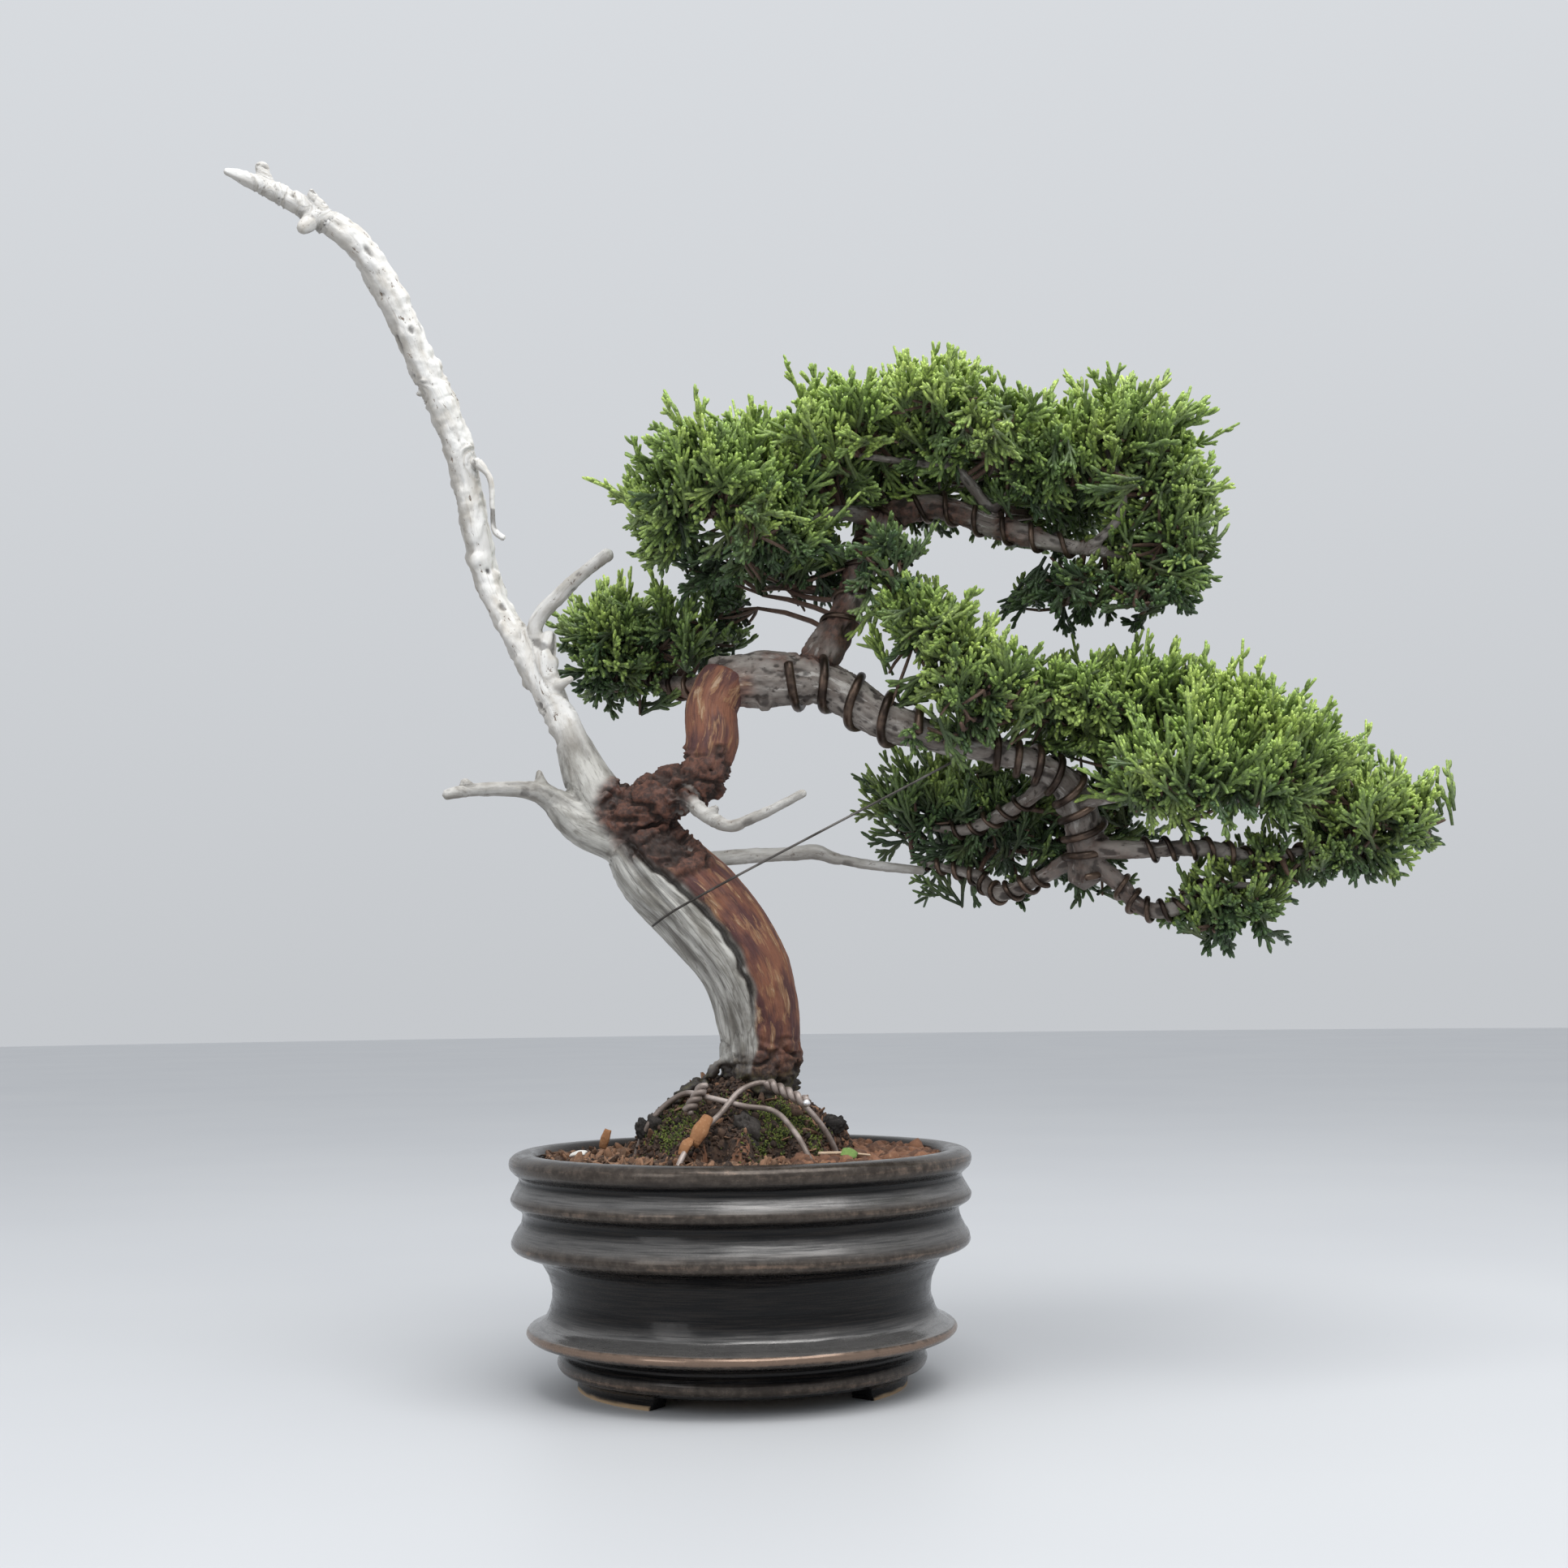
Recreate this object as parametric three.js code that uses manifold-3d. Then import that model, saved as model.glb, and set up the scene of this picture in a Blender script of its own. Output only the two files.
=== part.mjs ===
// A shimpaku juniper trained as a small slanting bonsai, in a round ribbed pot.
// Millimetres, +Z up. Everything is laid out about the pot's axis, with its feet on z = 0.
// At the end the group is shifted so that its origin is the middle of its footprint.
import * as THREE from 'three';
import { mergeVertices } from 'three/addons/utils/BufferGeometryUtils.js';
import Module from 'manifold-3d';

const wasm = await Module();
wasm.setup();

// ---------------------------------------------------------------- driving dimensions

const GAP = 0.3; // air left between two pieces that touch

const POT = { mouth: 66, floor: 12, underside: 5, footIn: 45, footOut: 53, drain: 9, facets: 32 };
// The outside of the pot, from the foot up: [radius, height].
const POT_OUTSIDE = [
  [POT.footOut, 0], [53.6, 3], [55.4, 4.9], [59.2, 6.6], [59.6, 8.6], [57.8, 12.2], [59.5, 13.8],
  [67.8, 16], [69.4, 17.8], [68.2, 19.3], [63.6, 21.8], [61.3, 27], [61.6, 33], [64, 38.8], [66.8, 41.4],
  [72, 43.2], [74.2, 45], [73.6, 47.4], [71.4, 51.6], [70.7, 54.4], [71.4, 56.4], [74, 58.2], [74.6, 60],
  [73.2, 62.6], [71.9, 65.4], [72.2, 67], [74.4, 68.8], [75, 71.2],
];
const POT_LIP = [[73.4, 74], [70, 74.5], [POT.mouth, 72.5]];
const POT_INSIDE = [[65, 60], [62.5, 38], [57.5, 20], [50, POT.floor]];
// Gaps between the three feet: [middle, width] in degrees, counted from the front towards +X.
const FOOT_GAPS = [[9.7, 75], [129.7, 50], [249.7, 50]];
const TIE_HOLE = { radius: 2, across: 28 };

const MESH_SHEET = { side: 30, thick: 0.8, holes: 4, hole: 4.4, pitch: 7 };
const STAPLE = { radius: 0.75, leg: 3.5, foot: 13 };

const SOIL_TOP = 72;
const ROOT_BALL = { centre: [-1, 0, 62], radii: [36, 34, 32] };

const TIE_RADIUS = 0.75;
const GUY_RADIUS = 0.4;
const HEAVY_WIRE = 1.3;
const LIGHT_WIRE = 0.9;

const COLOUR = {
  glaze: 0x2e2a27, mesh: 0x1c1c1c, soil: 0x8a4f31, roots: 0x33251a, moss: 0x4d6324, chip: 0x9a5f36,
  deadwood: 0xd9d7d2, shari: 0xa39c92, bark: 0x8a4a30, grey: 0x77706a, foliage: 0x5f8a34,
  trainingWire: 0x3a2e28, tieWire: 0x8b7b70, steel: 0x3b3936,
};

// Each woody limb is a list of [x, y, z, radius] along its middle, from its base to its tip.
const LIMBS = {
  trunk: [
    [6, 0, 70, 12], [6, 0, 95, 12], [6, -1, 115, 13.4], [1, -4, 134, 14.7], [-13, -5, 153, 15.5],
    [-26, -3, 166, 14.4], [-34, -1, 177, 12.4], [-42, 0, 186, 10],
  ],
  surface_root: [[0, -4, 101, 3.4], [-9, -7, 99, 2.8], [-20, -8, 92, 2.4], [-31, -7, 80, 2]],
  dead_leader: [
    [-47, 0, 190, 9], [-56, 4, 212, 5], [-70, 10, 238, 5], [-84, 14, 264, 4.6], [-88, 12, 280, 4.9],
    [-95, 6, 314, 5.1], [-105, 2, 338, 4.8], [-117, -3, 364, 4.7], [-127, -6, 379, 4.7],
    [-142, -10, 389, 3.8], [-158, -14, 397, 2.8], [-169, -16, 401, 1.2],
  ],
  jin_left: [
    [-54, -2, 184, 6], [-62, -6, 190, 4.2], [-68, -9, 192, 2.7], [-85, -17, 191, 2], [-93, -22, 190, 1],
  ],
  jin_fork: [
    [-59, 6, 226, 1.6], [-66, 9, 240, 2], [-68, 9, 250, 2.4], [-59, 5, 260, 2.4], [-42, -3, 272, 1.7],
  ],
  upper_trunk: [
    [-35, -4, 180, 9], [-25, -8, 189, 8], [-13, -9, 194, 7.2], [-8, -8, 207, 7.8], [-8, -4, 219, 8],
    [-3, -1, 229, 8.3],
  ],
  jin_right_upper: [
    [-22, -14, 190, 3], [-12, -19, 184, 2.9], [-4, -22, 178, 1.9], [8, -26, 182, 1.5], [22, -31, 188, 0.9],
  ],
  jin_right_lower: [
    [-12, 3, 169, 2.7], [3, 13, 171, 2.7], [20, 17, 172, 2.4], [45, 22, 168, 1.7], [63, 26, 166, 1.2],
  ],
  main_branch: [
    [-6, 0, 229, 8.6], [15, 0, 229, 8.6], [30, -1, 227, 6.6], [49, -5, 215, 6.5], [66, -8, 208, 4.7],
    [90, -7, 202, 4.2], [108, -4, 193, 5], [115, 0, 177, 5.8], [115, 3, 161, 5.4],
  ],
  crown_branch: [
    [24, 2, 230, 5.8], [37, 6, 252, 5], [44, 9, 272, 4.6], [52, 9, 285, 4.4], [67, 7, 289, 4.1],
    [90, 1, 280, 3.8], [109, -3, 273, 2.5], [145, -6, 267, 1.2],
  ],
  crown_left_branch: [[50, 9, 285, 2.6], [36, 2, 286, 2.4], [19, -6, 281, 1.9], [-6, -10, 285, 1.1]],
  crown_upper_branch: [[88, 2, 283, 2.2], [79, 0, 296, 1.9], [73, -2, 302, 1.6], [71, -2, 314, 1.1]],
  crown_tip_branch: [[117, -4, 270, 1.9], [129, -10, 283, 1.5], [124, -10, 307, 1.1]],
  left_branch: [[-8, 2, 229, 4.2], [-14, 20, 230, 3.7], [-27, 32, 233, 2.8], [-51, 36, 244, 1.4]],
  right_upper_branch: [
    [70, -8, 207, 2.4], [84, -4, 216, 2], [104, 1, 222, 1.7], [130, 5, 219, 1.4], [160, 6, 214, 1.1],
    [184, 1, 211, 0.9],
  ],
  spray_branch: [[74, -9, 208, 1.7], [79, -14, 221, 1.4], [70, -13, 236, 1.1], [60, -12, 250, 0.9]],
  inner_upper_branch: [[106, 0, 195, 2.6], [93, 14, 186, 2.3], [77, 26, 180, 2], [67, 30, 181, 1.1]],
  inner_lower_branch: [
    [114, 2, 170, 3], [99, 17, 161, 2.5], [88, 24, 158, 2.5], [82, 30, 164, 2], [62, 38, 170, 1.1],
  ],
  right_front_branch: [[112, -3, 186, 2.4], [126, -18, 187, 1.8], [150, -24, 185, 1.4], [176, -20, 184, 1]],
  far_right_branch: [
    [116, -2, 171, 3.2], [130, -8, 170, 2.9], [154, -10, 170, 2.4], [169, -8, 167, 1.9],
    [185, -5, 169, 1.5], [229, 0, 174, 0.9],
  ],
  bottom_branch: [
    [116, 0, 168, 3.2], [125, -3, 160, 2.9], [133, -5, 151, 2.7], [144, -7, 151, 2.1],
    [151, -8, 157, 1.6], [168, -10, 158, 1],
  ],
};

// Short side growths that belong to the limb they stand on.
const STUBS = {
  dead_leader: [[[-154, -13, 394, 2.6], [-157, -13, 401, 2.2], [-158, -13, 405, 1.8]]],
  jin_left: [[[-62, -6, 190, 2.8], [-65, -7, 196, 1.7], [-65, -7, 200, 1]]],
  crown_upper_branch: [
    [[74, -2, 301, 1.4], [62, -5, 301, 1.3], [42, -12, 302, 1]],
    [[87, 2, 285, 1.6], [98, -6, 298, 1.3], [102, -8, 309, 1.1]],
  ],
};

// A training wire winds round its limb from one share of the limb's length to another.
const WINDINGS = {
  main_branch_wire: { limb: 'main_branch', from: 0.12, to: 0.52, turns: 4, radius: HEAVY_WIRE },
  lower_branch_wire: { limb: 'main_branch', from: 0.68, to: 0.99, turns: 5, radius: HEAVY_WIRE },
  crown_branch_wire: { limb: 'crown_branch', from: 0.13, to: 0.8, turns: 7, radius: LIGHT_WIRE },
  left_branch_wire: { limb: 'left_branch', from: 0.3, to: 0.85, turns: 3, radius: LIGHT_WIRE },
  inner_upper_wire: { limb: 'inner_upper_branch', from: 0.3, to: 0.9, turns: 3, radius: LIGHT_WIRE },
  inner_lower_wire: { limb: 'inner_lower_branch', from: 0.3, to: 0.95, turns: 4, radius: LIGHT_WIRE },
  far_right_wire: { limb: 'far_right_branch', from: 0.25, to: 0.75, turns: 5, radius: LIGHT_WIRE },
  bottom_branch_wire: { limb: 'bottom_branch', from: 0.3, to: 0.9, turns: 4, radius: LIGHT_WIRE },
};

// The two soft wires that tie the root ball down, from one hole in the pot's floor to the other.
const TIE_ROUTES = {
  tie_wire_upper: [
    [-28, 0, 3.4], [-28, 0, 16], [-30, -30, 40], [-20, -45, 68], [-14, -36, 80], [-6, -29, 87],
    [1, -23, 94.5], [8, -20.5, 96.5], [14, -21, 94], [21, -22, 89], [30, -20, 76], [35, -4, 40],
    [28, 0, 16], [28, 0, 3.4],
  ],
  tie_wire_lower: [
    [-28, 6, 16], [-36, -4, 50], [-30, -14, 82], [-18, -16, 93], [-9, -22, 92], [2, -25.5, 89.5],
    [11, -27, 88], [17, -33, 82.5], [22, -40, 74], [30, -34, 50], [28, -6, 16],
  ],
};

const GUY_ROUTE = [[-27.5, -12, 147], [-20, -21.2, 151.5], [75.2, -14.5, 201.4]];

// Each foliage pad is one or more overlapping lumps: [x, y, z, half width, half depth, half height].
const PADS = {
  foliage_crown_left: [[-6, -10, 292, 28, 36, 21], [-29, 0, 283, 13, 23, 12], [7, -12, 274, 20, 26, 12]],
  foliage_crown_top_left: [[26, 5, 307, 24, 38, 22], [39, 5, 320, 17, 30, 14]],
  foliage_crown_top: [[68, 0, 319, 21, 38, 19], [85, -5, 306, 18, 32, 16]],
  foliage_crown_middle: [[112, 4, 303, 25, 36, 21]],
  foliage_crown_right: [[132, -6, 313, 15, 25, 15], [149, 0, 296, 18, 30, 21], [150, 0, 272, 17, 27, 19]],
  foliage_crown_hanging: [[124, 12, 259, 28, 26, 12]],
  foliage_crown_back: [[65, 46, 308, 36, 22, 20], [113, 44, 301, 26, 21, 18]],
  foliage_crown_inner: [[60, -20, 271, 21, 13, 9]],
  foliage_inner_left: [[16, 30, 266, 32, 18, 13]],
  foliage_left: [[-37, 34, 249, 29, 30, 17], [-11, 34, 252, 16, 23, 11], [-40, 34, 234, 18, 20, 9]],
  foliage_right_spray: [[65, -14, 242, 20, 22, 16], [82, -19, 223, 18, 18, 14]],
  foliage_right_upper: [[115, 4, 225, 24, 34, 21], [136, 6, 222, 16, 30, 17]],
  foliage_right_middle: [[159, 6, 216, 21, 33, 18], [182, 0, 212, 18, 27, 16]],
  foliage_right_front: [[140, -28, 187, 22, 18, 12], [171, -22, 186, 22, 21, 12]],
  foliage_far_right: [[203, 0, 184, 19, 25, 14], [221, 0, 179, 15, 20, 12], [202, 0, 168, 13, 16, 9]],
  foliage_lower_left: [[68, 40, 189, 26, 22, 18], [93, 40, 184, 22, 22, 20]],
  foliage_lower_back: [[124, 42, 184, 21, 19, 22]],
  foliage_bottom_right: [[164, -4, 151, 20, 20, 10]],
};

const MOSS = {
  moss_front: [13, -24, 80, 14, 8, 10],
  moss_left: [-22, -20, 80, 8, 7, 7],
};
const BARK_CHIP = [[-14.5, -39, 77.5], [-9, -34, 84.5]];

// ---------------------------------------------------------------- solids

function solidOf(geometry) {
  const bare = geometry.clone();
  bare.deleteAttribute('normal');
  bare.deleteAttribute('uv');
  const merged = mergeVertices(bare, 1e-4);
  const vertProperties = merged.attributes.position.array;
  const triVerts = new Uint32Array(merged.index.array);
  return new wasm.Manifold(new wasm.Mesh({ numProp: 3, vertProperties, triVerts }));
}

function geometryOf(solid) {
  const { vertProperties, triVerts } = solid.getMesh();
  const geometry = new THREE.BufferGeometry();
  geometry.setAttribute('position', new THREE.BufferAttribute(vertProperties, 3));
  geometry.setIndex(new THREE.BufferAttribute(triVerts, 1));
  geometry.computeVertexNormals();
  return geometry;
}

function largestBody(solid) {
  return solid.decompose().reduce((a, b) => (b.volume() > a.volume() ? b : a));
}

function joined(solids) {
  return solids.reduce((a, b) => a.add(b));
}

const vector = ([x, y, z]) => new THREE.Vector3(x, y, z);

// ---------------------------------------------------------------- limbs and wires

// The middle line and girth of a limb, with a frame carried along it without twisting.
function limbCourse(points) {
  const middle = new THREE.CatmullRomCurve3(points.map(vector));
  const girth = new THREE.SplineCurve(points.map((p, i) => new THREE.Vector2(i, p[3])));
  const samples = 4 * points.length;
  const frames = [];
  let across = new THREE.Vector3(0.31, 0.87, 0.38);
  for (let i = 0; i <= samples; i += 1) {
    const t = i / samples;
    const along = middle.getTangent(t);
    across = across.clone().addScaledVector(along, -across.dot(along)).normalize();
    frames.push({ across, up: new THREE.Vector3().crossVectors(along, across) });
  }
  const frameAt = (t) => frames[Math.round(t * samples)];
  return {
    centre: (t) => middle.getPoint(t),
    along: (t) => middle.getTangent(t),
    radius: (t) => girth.getPoint(t).y,
    // the direction at an angle round the limb
    spoke(t, angle) {
      const { across: u, up: v } = frameAt(t);
      return u.clone().multiplyScalar(Math.cos(angle)).addScaledVector(v, Math.sin(angle));
    },
  };
}

// A tapering limb with closed ends, its surface moved out by grow and its flats by cover.
function limbSolid(points, grow, sides = 8, cover = 1) {
  const course = limbCourse(points);
  const rings = 2 * (points.length - 1);
  const positions = [];
  const index = [];
  for (let i = 0; i <= rings; i += 1) {
    const t = i / rings;
    const centre = course.centre(t);
    if (i === 0) centre.addScaledVector(course.along(0), -grow);
    if (i === rings) centre.addScaledVector(course.along(1), grow);
    for (let j = 0; j < sides; j += 1) {
      const spoke = course.spoke(t, (2 * Math.PI * j) / sides);
      positions.push(...centre.clone().addScaledVector(spoke, (course.radius(t) + grow) * cover));
    }
  }
  for (let i = 0; i < rings; i += 1) {
    for (let j = 0; j < sides; j += 1) {
      const [a, b] = [i * sides + j, i * sides + ((j + 1) % sides)];
      index.push(a, b, b + sides, a, b + sides, a + sides);
    }
  }
  for (let j = 1; j < sides - 1; j += 1) {
    const last = rings * sides;
    index.push(0, j + 1, j, last, last + j, last + j + 1);
  }
  const geometry = new THREE.BufferGeometry();
  geometry.setAttribute('position', new THREE.Float32BufferAttribute(positions, 3));
  geometry.setIndex(index);
  return solidOf(geometry);
}

// A round wire along a list of places.
function wireSolid(places, radius, sides, steps) {
  const rim = [];
  for (let i = 0; i < sides; i += 1) {
    const angle = (2 * Math.PI * i) / sides;
    rim.push(new THREE.Vector2(radius * Math.cos(angle), radius * Math.sin(angle)));
  }
  const extrudePath = new THREE.CatmullRomCurve3(places);
  return solidOf(new THREE.ExtrudeGeometry(new THREE.Shape(rim), { steps, extrudePath, bevelEnabled: false }));
}

const TURN_STEPS = 8;
const CHORD = Math.cos(Math.PI / TURN_STEPS); // how near a straight step comes to the middle

function windingSolid({ limb, from, to, turns, radius }, grow) {
  const course = limbCourse(LIMBS[limb]);
  const steps = turns * TURN_STEPS;
  const places = [];
  for (let i = 0; i <= steps; i += 1) {
    const t = from + ((to - from) * i) / steps;
    const reach = (course.radius(t) + radius + 1.4 * GAP) / CHORD;
    const spoke = course.spoke(t, (2 * Math.PI * i) / TURN_STEPS);
    places.push(course.centre(t).addScaledVector(spoke, reach));
  }
  return wireSolid(places, radius + grow, 5, steps);
}

// The room that a limb and the wire round it take up inside a foliage pad.
function sleeveSolid(name) {
  const winding = Object.values(WINDINGS).find((w) => w.limb === name);
  const grow = winding ? 2 * (winding.radius + GAP) : GAP;
  const cover = winding ? 1 / (CHORD * CHORD) : 1;
  const courses = [LIMBS[name], ...(STUBS[name] ?? [])];
  return joined(courses.map((course) => limbSolid(course, grow, 8, cover)));
}

// ---------------------------------------------------------------- round and lumpy masses

function lumpSolid([x, y, z, rx, ry, rz], grow, detail) {
  const geometry = new THREE.IcosahedronGeometry(1, detail);
  geometry.scale(rx + grow, ry + grow, rz + grow);
  geometry.translate(x, y, z);
  return solidOf(geometry);
}

function turnedSolid(profile, facets) {
  const points = profile.map(([r, z]) => new THREE.Vector2(r, z));
  const geometry = new THREE.LatheGeometry(points, facets);
  geometry.rotateX(Math.PI / 2);
  return solidOf(geometry);
}

// ---------------------------------------------------------------- pot

function curveThrough(points, count) {
  const curve = new THREE.SplineCurve(points.map(([r, z]) => new THREE.Vector2(r, z)));
  return curve.getPoints(count).map(({ x, y }) => [x, y]);
}

function footGap([middle, width]) {
  const shape = new THREE.Shape();
  const reach = 2 * POT.footOut;
  const corner = (degrees) => {
    const angle = THREE.MathUtils.degToRad(degrees);
    return [reach * Math.sin(angle), -reach * Math.cos(angle)];
  };
  shape.moveTo(0, 0);
  shape.lineTo(...corner(middle - width / 2));
  shape.lineTo(...corner(middle));
  shape.lineTo(...corner(middle + width / 2));
  const cutHeight = POT.underside - 0.6;
  const geometry = new THREE.ExtrudeGeometry(shape, { depth: cutHeight + 1, bevelEnabled: false });
  geometry.translate(0, 0, -1);
  return solidOf(geometry);
}

function tieHole(side) {
  const geometry = new THREE.CylinderGeometry(TIE_HOLE.radius, TIE_HOLE.radius, 2 * POT.floor, 12);
  geometry.rotateX(Math.PI / 2);
  geometry.translate(side * TIE_HOLE.across, 0, POT.floor);
  return solidOf(geometry);
}

function potSolid() {
  const profile = [
    [POT.drain, POT.underside], [POT.footIn, POT.underside], [POT.footIn, 0],
    ...POT_OUTSIDE, ...curveThrough(POT_LIP, 3), ...POT_INSIDE,
    [POT.drain, POT.floor], [POT.drain, POT.underside],
  ];
  const body = turnedSolid(profile, POT.facets);
  const cuts = joined([...FOOT_GAPS.map(footGap), tieHole(-1), tieHole(1)]);
  return body.subtract(cuts);
}

function soilSolid() {
  const base = POT.floor + GAP;
  const wall = POT_INSIDE.map(([r, z]) => [r - 1, Math.max(z, base)]).reverse();
  return turnedSolid([[0, base], ...wall, [64.5, SOIL_TOP - 2], [40, SOIL_TOP], [0, SOIL_TOP]], 24);
}

function boxSolid([x, y, z], [wide, deep, tall]) {
  const geometry = new THREE.BoxGeometry(wide, deep, tall);
  geometry.translate(x, y, z);
  return solidOf(geometry);
}

function meshSheetSolid() {
  const { side, thick, holes, hole, pitch } = MESH_SHEET;
  const z = POT.floor + GAP + thick / 2;
  const cuts = [];
  for (let i = 0; i < holes; i += 1) {
    for (let j = 0; j < holes; j += 1) {
      const [x, y] = [i, j].map((k) => (k - (holes - 1) / 2) * pitch);
      cuts.push(boxSolid([x, y, z], [hole, hole, 2 * thick]));
    }
  }
  return boxSolid([0, 0, z], [side, side, thick]).subtract(joined(cuts));
}

function stapleSolid(grow) {
  const top = POT.floor + MESH_SHEET.thick + STAPLE.radius + 3 * GAP;
  const under = POT.underside - STAPLE.radius - 2 * GAP;
  const side = (s) => [[s * STAPLE.foot, 0, under], [s * (STAPLE.leg + 1), 0, under], [s * STAPLE.leg, 0, 9]];
  const bar = [[-STAPLE.leg, 0, top - 1], [-STAPLE.leg / 2, 0, top], [STAPLE.leg / 2, 0, top]];
  const route = [...side(-1), ...bar, [STAPLE.leg, 0, top - 1], ...side(1).reverse()];
  return wireSolid(route.map(vector), STAPLE.radius + grow, 6, 24);
}

function chipSolid(grow) {
  const [low, high] = BARK_CHIP.map(vector);
  const length = low.distanceTo(high);
  const geometry = new THREE.BoxGeometry(4.5 + 2 * grow, length + 2 * grow, 1.2 + 2 * grow);
  geometry.rotateX(Math.PI / 4);
  geometry.rotateZ(-Math.PI / 6);
  const middle = low.clone().lerp(high, 0.5);
  geometry.translate(middle.x, middle.y, middle.z);
  return solidOf(geometry);
}

// ---------------------------------------------------------------- assembly

const bonsai = new THREE.Group();

function addPiece(name, solid, color, roughness, metalness = 0) {
  const material = new THREE.MeshStandardMaterial({ color, roughness, metalness });
  const mesh = new THREE.Mesh(geometryOf(solid), material);
  mesh.name = name;
  bonsai.add(mesh);
}

// Pieces placed one after another: each is cut back by a gap from all those before it.
let taken = null;

function placePiece(name, shape, color, roughness, metalness = 0) {
  const whole = shape(0);
  const solid = taken ? largestBody(whole.subtract(taken)) : whole;
  addPiece(name, solid, color, roughness, metalness);
  const room = shape(GAP);
  taken = taken ? taken.add(room) : room;
}

function placeLimb(name, color, roughness = 0.8) {
  const courses = [LIMBS[name], ...(STUBS[name] ?? [])];
  placePiece(name, (grow) => joined(courses.map((c) => limbSolid(c, grow))), color, roughness);
  for (const [wire, winding] of Object.entries(WINDINGS)) {
    if (winding.limb === name) {
      placePiece(wire, (grow) => windingSolid(winding, grow), COLOUR.trainingWire, 0.45, 0.6);
    }
  }
}

addPiece('pot', potSolid(), COLOUR.glaze, 0.2);
placePiece('mesh_staple', stapleSolid, COLOUR.tieWire, 0.5, 0.7);
placePiece('drainage_mesh', meshSheetSolid, COLOUR.mesh, 0.6);
for (const [name, route] of Object.entries(TIE_ROUTES)) {
  const shape = (grow) => wireSolid(route.map(vector), TIE_RADIUS + grow, 5, 3 * route.length);
  placePiece(name, shape, COLOUR.tieWire, 0.5, 0.7);
}

placeLimb('trunk', COLOUR.shari);
placeLimb('surface_root', COLOUR.bark);
for (const name of ['dead_leader', 'jin_left', 'jin_fork']) placeLimb(name, COLOUR.deadwood);
placeLimb('upper_trunk', COLOUR.bark);
for (const name of ['jin_right_upper', 'jin_right_lower']) placeLimb(name, COLOUR.deadwood);
const branches = Object.keys(LIMBS).filter((name) => name.endsWith('_branch'));
for (const name of branches) placeLimb(name, COLOUR.grey);

const guyShape = (grow) => wireSolid(GUY_ROUTE.map(vector), GUY_RADIUS + grow, 6, 4);
placePiece('guy_wire', guyShape, COLOUR.steel, 0.4, 0.8);

const { centre, radii } = ROOT_BALL;
placePiece('root_ball', (grow) => lumpSolid([...centre, ...radii], grow, 2), COLOUR.roots, 0.95);
for (const [name, lump] of Object.entries(MOSS)) {
  placePiece(name, (grow) => lumpSolid(lump, grow, 1), COLOUR.moss, 0.95);
}
placePiece('bark_chip', chipSolid, COLOUR.chip, 0.8);
placePiece('akadama_soil', soilSolid, COLOUR.soil, 0.95);

taken = joined([...Object.keys(LIMBS).map(sleeveSolid), guyShape(GAP)]);
for (const [name, lumps] of Object.entries(PADS)) {
  placePiece(name, (grow) => joined(lumps.map((l) => lumpSolid(l, grow, 1))), COLOUR.foliage, 0.85);
}

const extent = new THREE.Box3().setFromObject(bonsai);
const middle = extent.getCenter(new THREE.Vector3());
bonsai.position.set(-middle.x, -middle.y, 0);

export default bonsai;
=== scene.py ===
"""Looks for a shimpaku juniper bonsai in a ribbed pot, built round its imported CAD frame."""
import math

import bmesh
import bpy
import numpy as np
from mathutils import Matrix, Vector
from mathutils.kdtree import KDTree


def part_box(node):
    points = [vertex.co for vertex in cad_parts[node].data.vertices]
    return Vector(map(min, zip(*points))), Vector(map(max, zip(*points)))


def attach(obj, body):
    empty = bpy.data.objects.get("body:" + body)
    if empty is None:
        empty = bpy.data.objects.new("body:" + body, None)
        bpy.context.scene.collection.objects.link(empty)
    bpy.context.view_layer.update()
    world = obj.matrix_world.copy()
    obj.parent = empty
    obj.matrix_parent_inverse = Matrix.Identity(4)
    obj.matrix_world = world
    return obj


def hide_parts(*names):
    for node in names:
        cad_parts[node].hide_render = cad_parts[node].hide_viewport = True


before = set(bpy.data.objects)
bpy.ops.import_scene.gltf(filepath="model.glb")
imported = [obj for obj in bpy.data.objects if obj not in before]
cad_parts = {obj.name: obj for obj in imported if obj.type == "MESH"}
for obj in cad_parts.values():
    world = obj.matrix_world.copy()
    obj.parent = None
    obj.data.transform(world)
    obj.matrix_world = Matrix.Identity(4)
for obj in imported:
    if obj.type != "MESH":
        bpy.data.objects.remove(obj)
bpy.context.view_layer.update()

MM = 0.001

# All shapes are laid out in millimetres about the pot's axis, with its feet on z = 0.
POT_LOW, POT_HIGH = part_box("pot")
AXIS = np.array([(POT_LOW.x + POT_HIGH.x) / 2, (POT_LOW.y + POT_HIGH.y) / 2, POT_LOW.z]) / MM

CAMERA_PLACE = (15.6, -685.0, 124.0)
CAMERA_LENS = 47.55
CAMERA_PITCH = 5.83
CAMERA_ROLL = 0.7

# ------------------------------------------------------------------ driving dimensions

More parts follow.
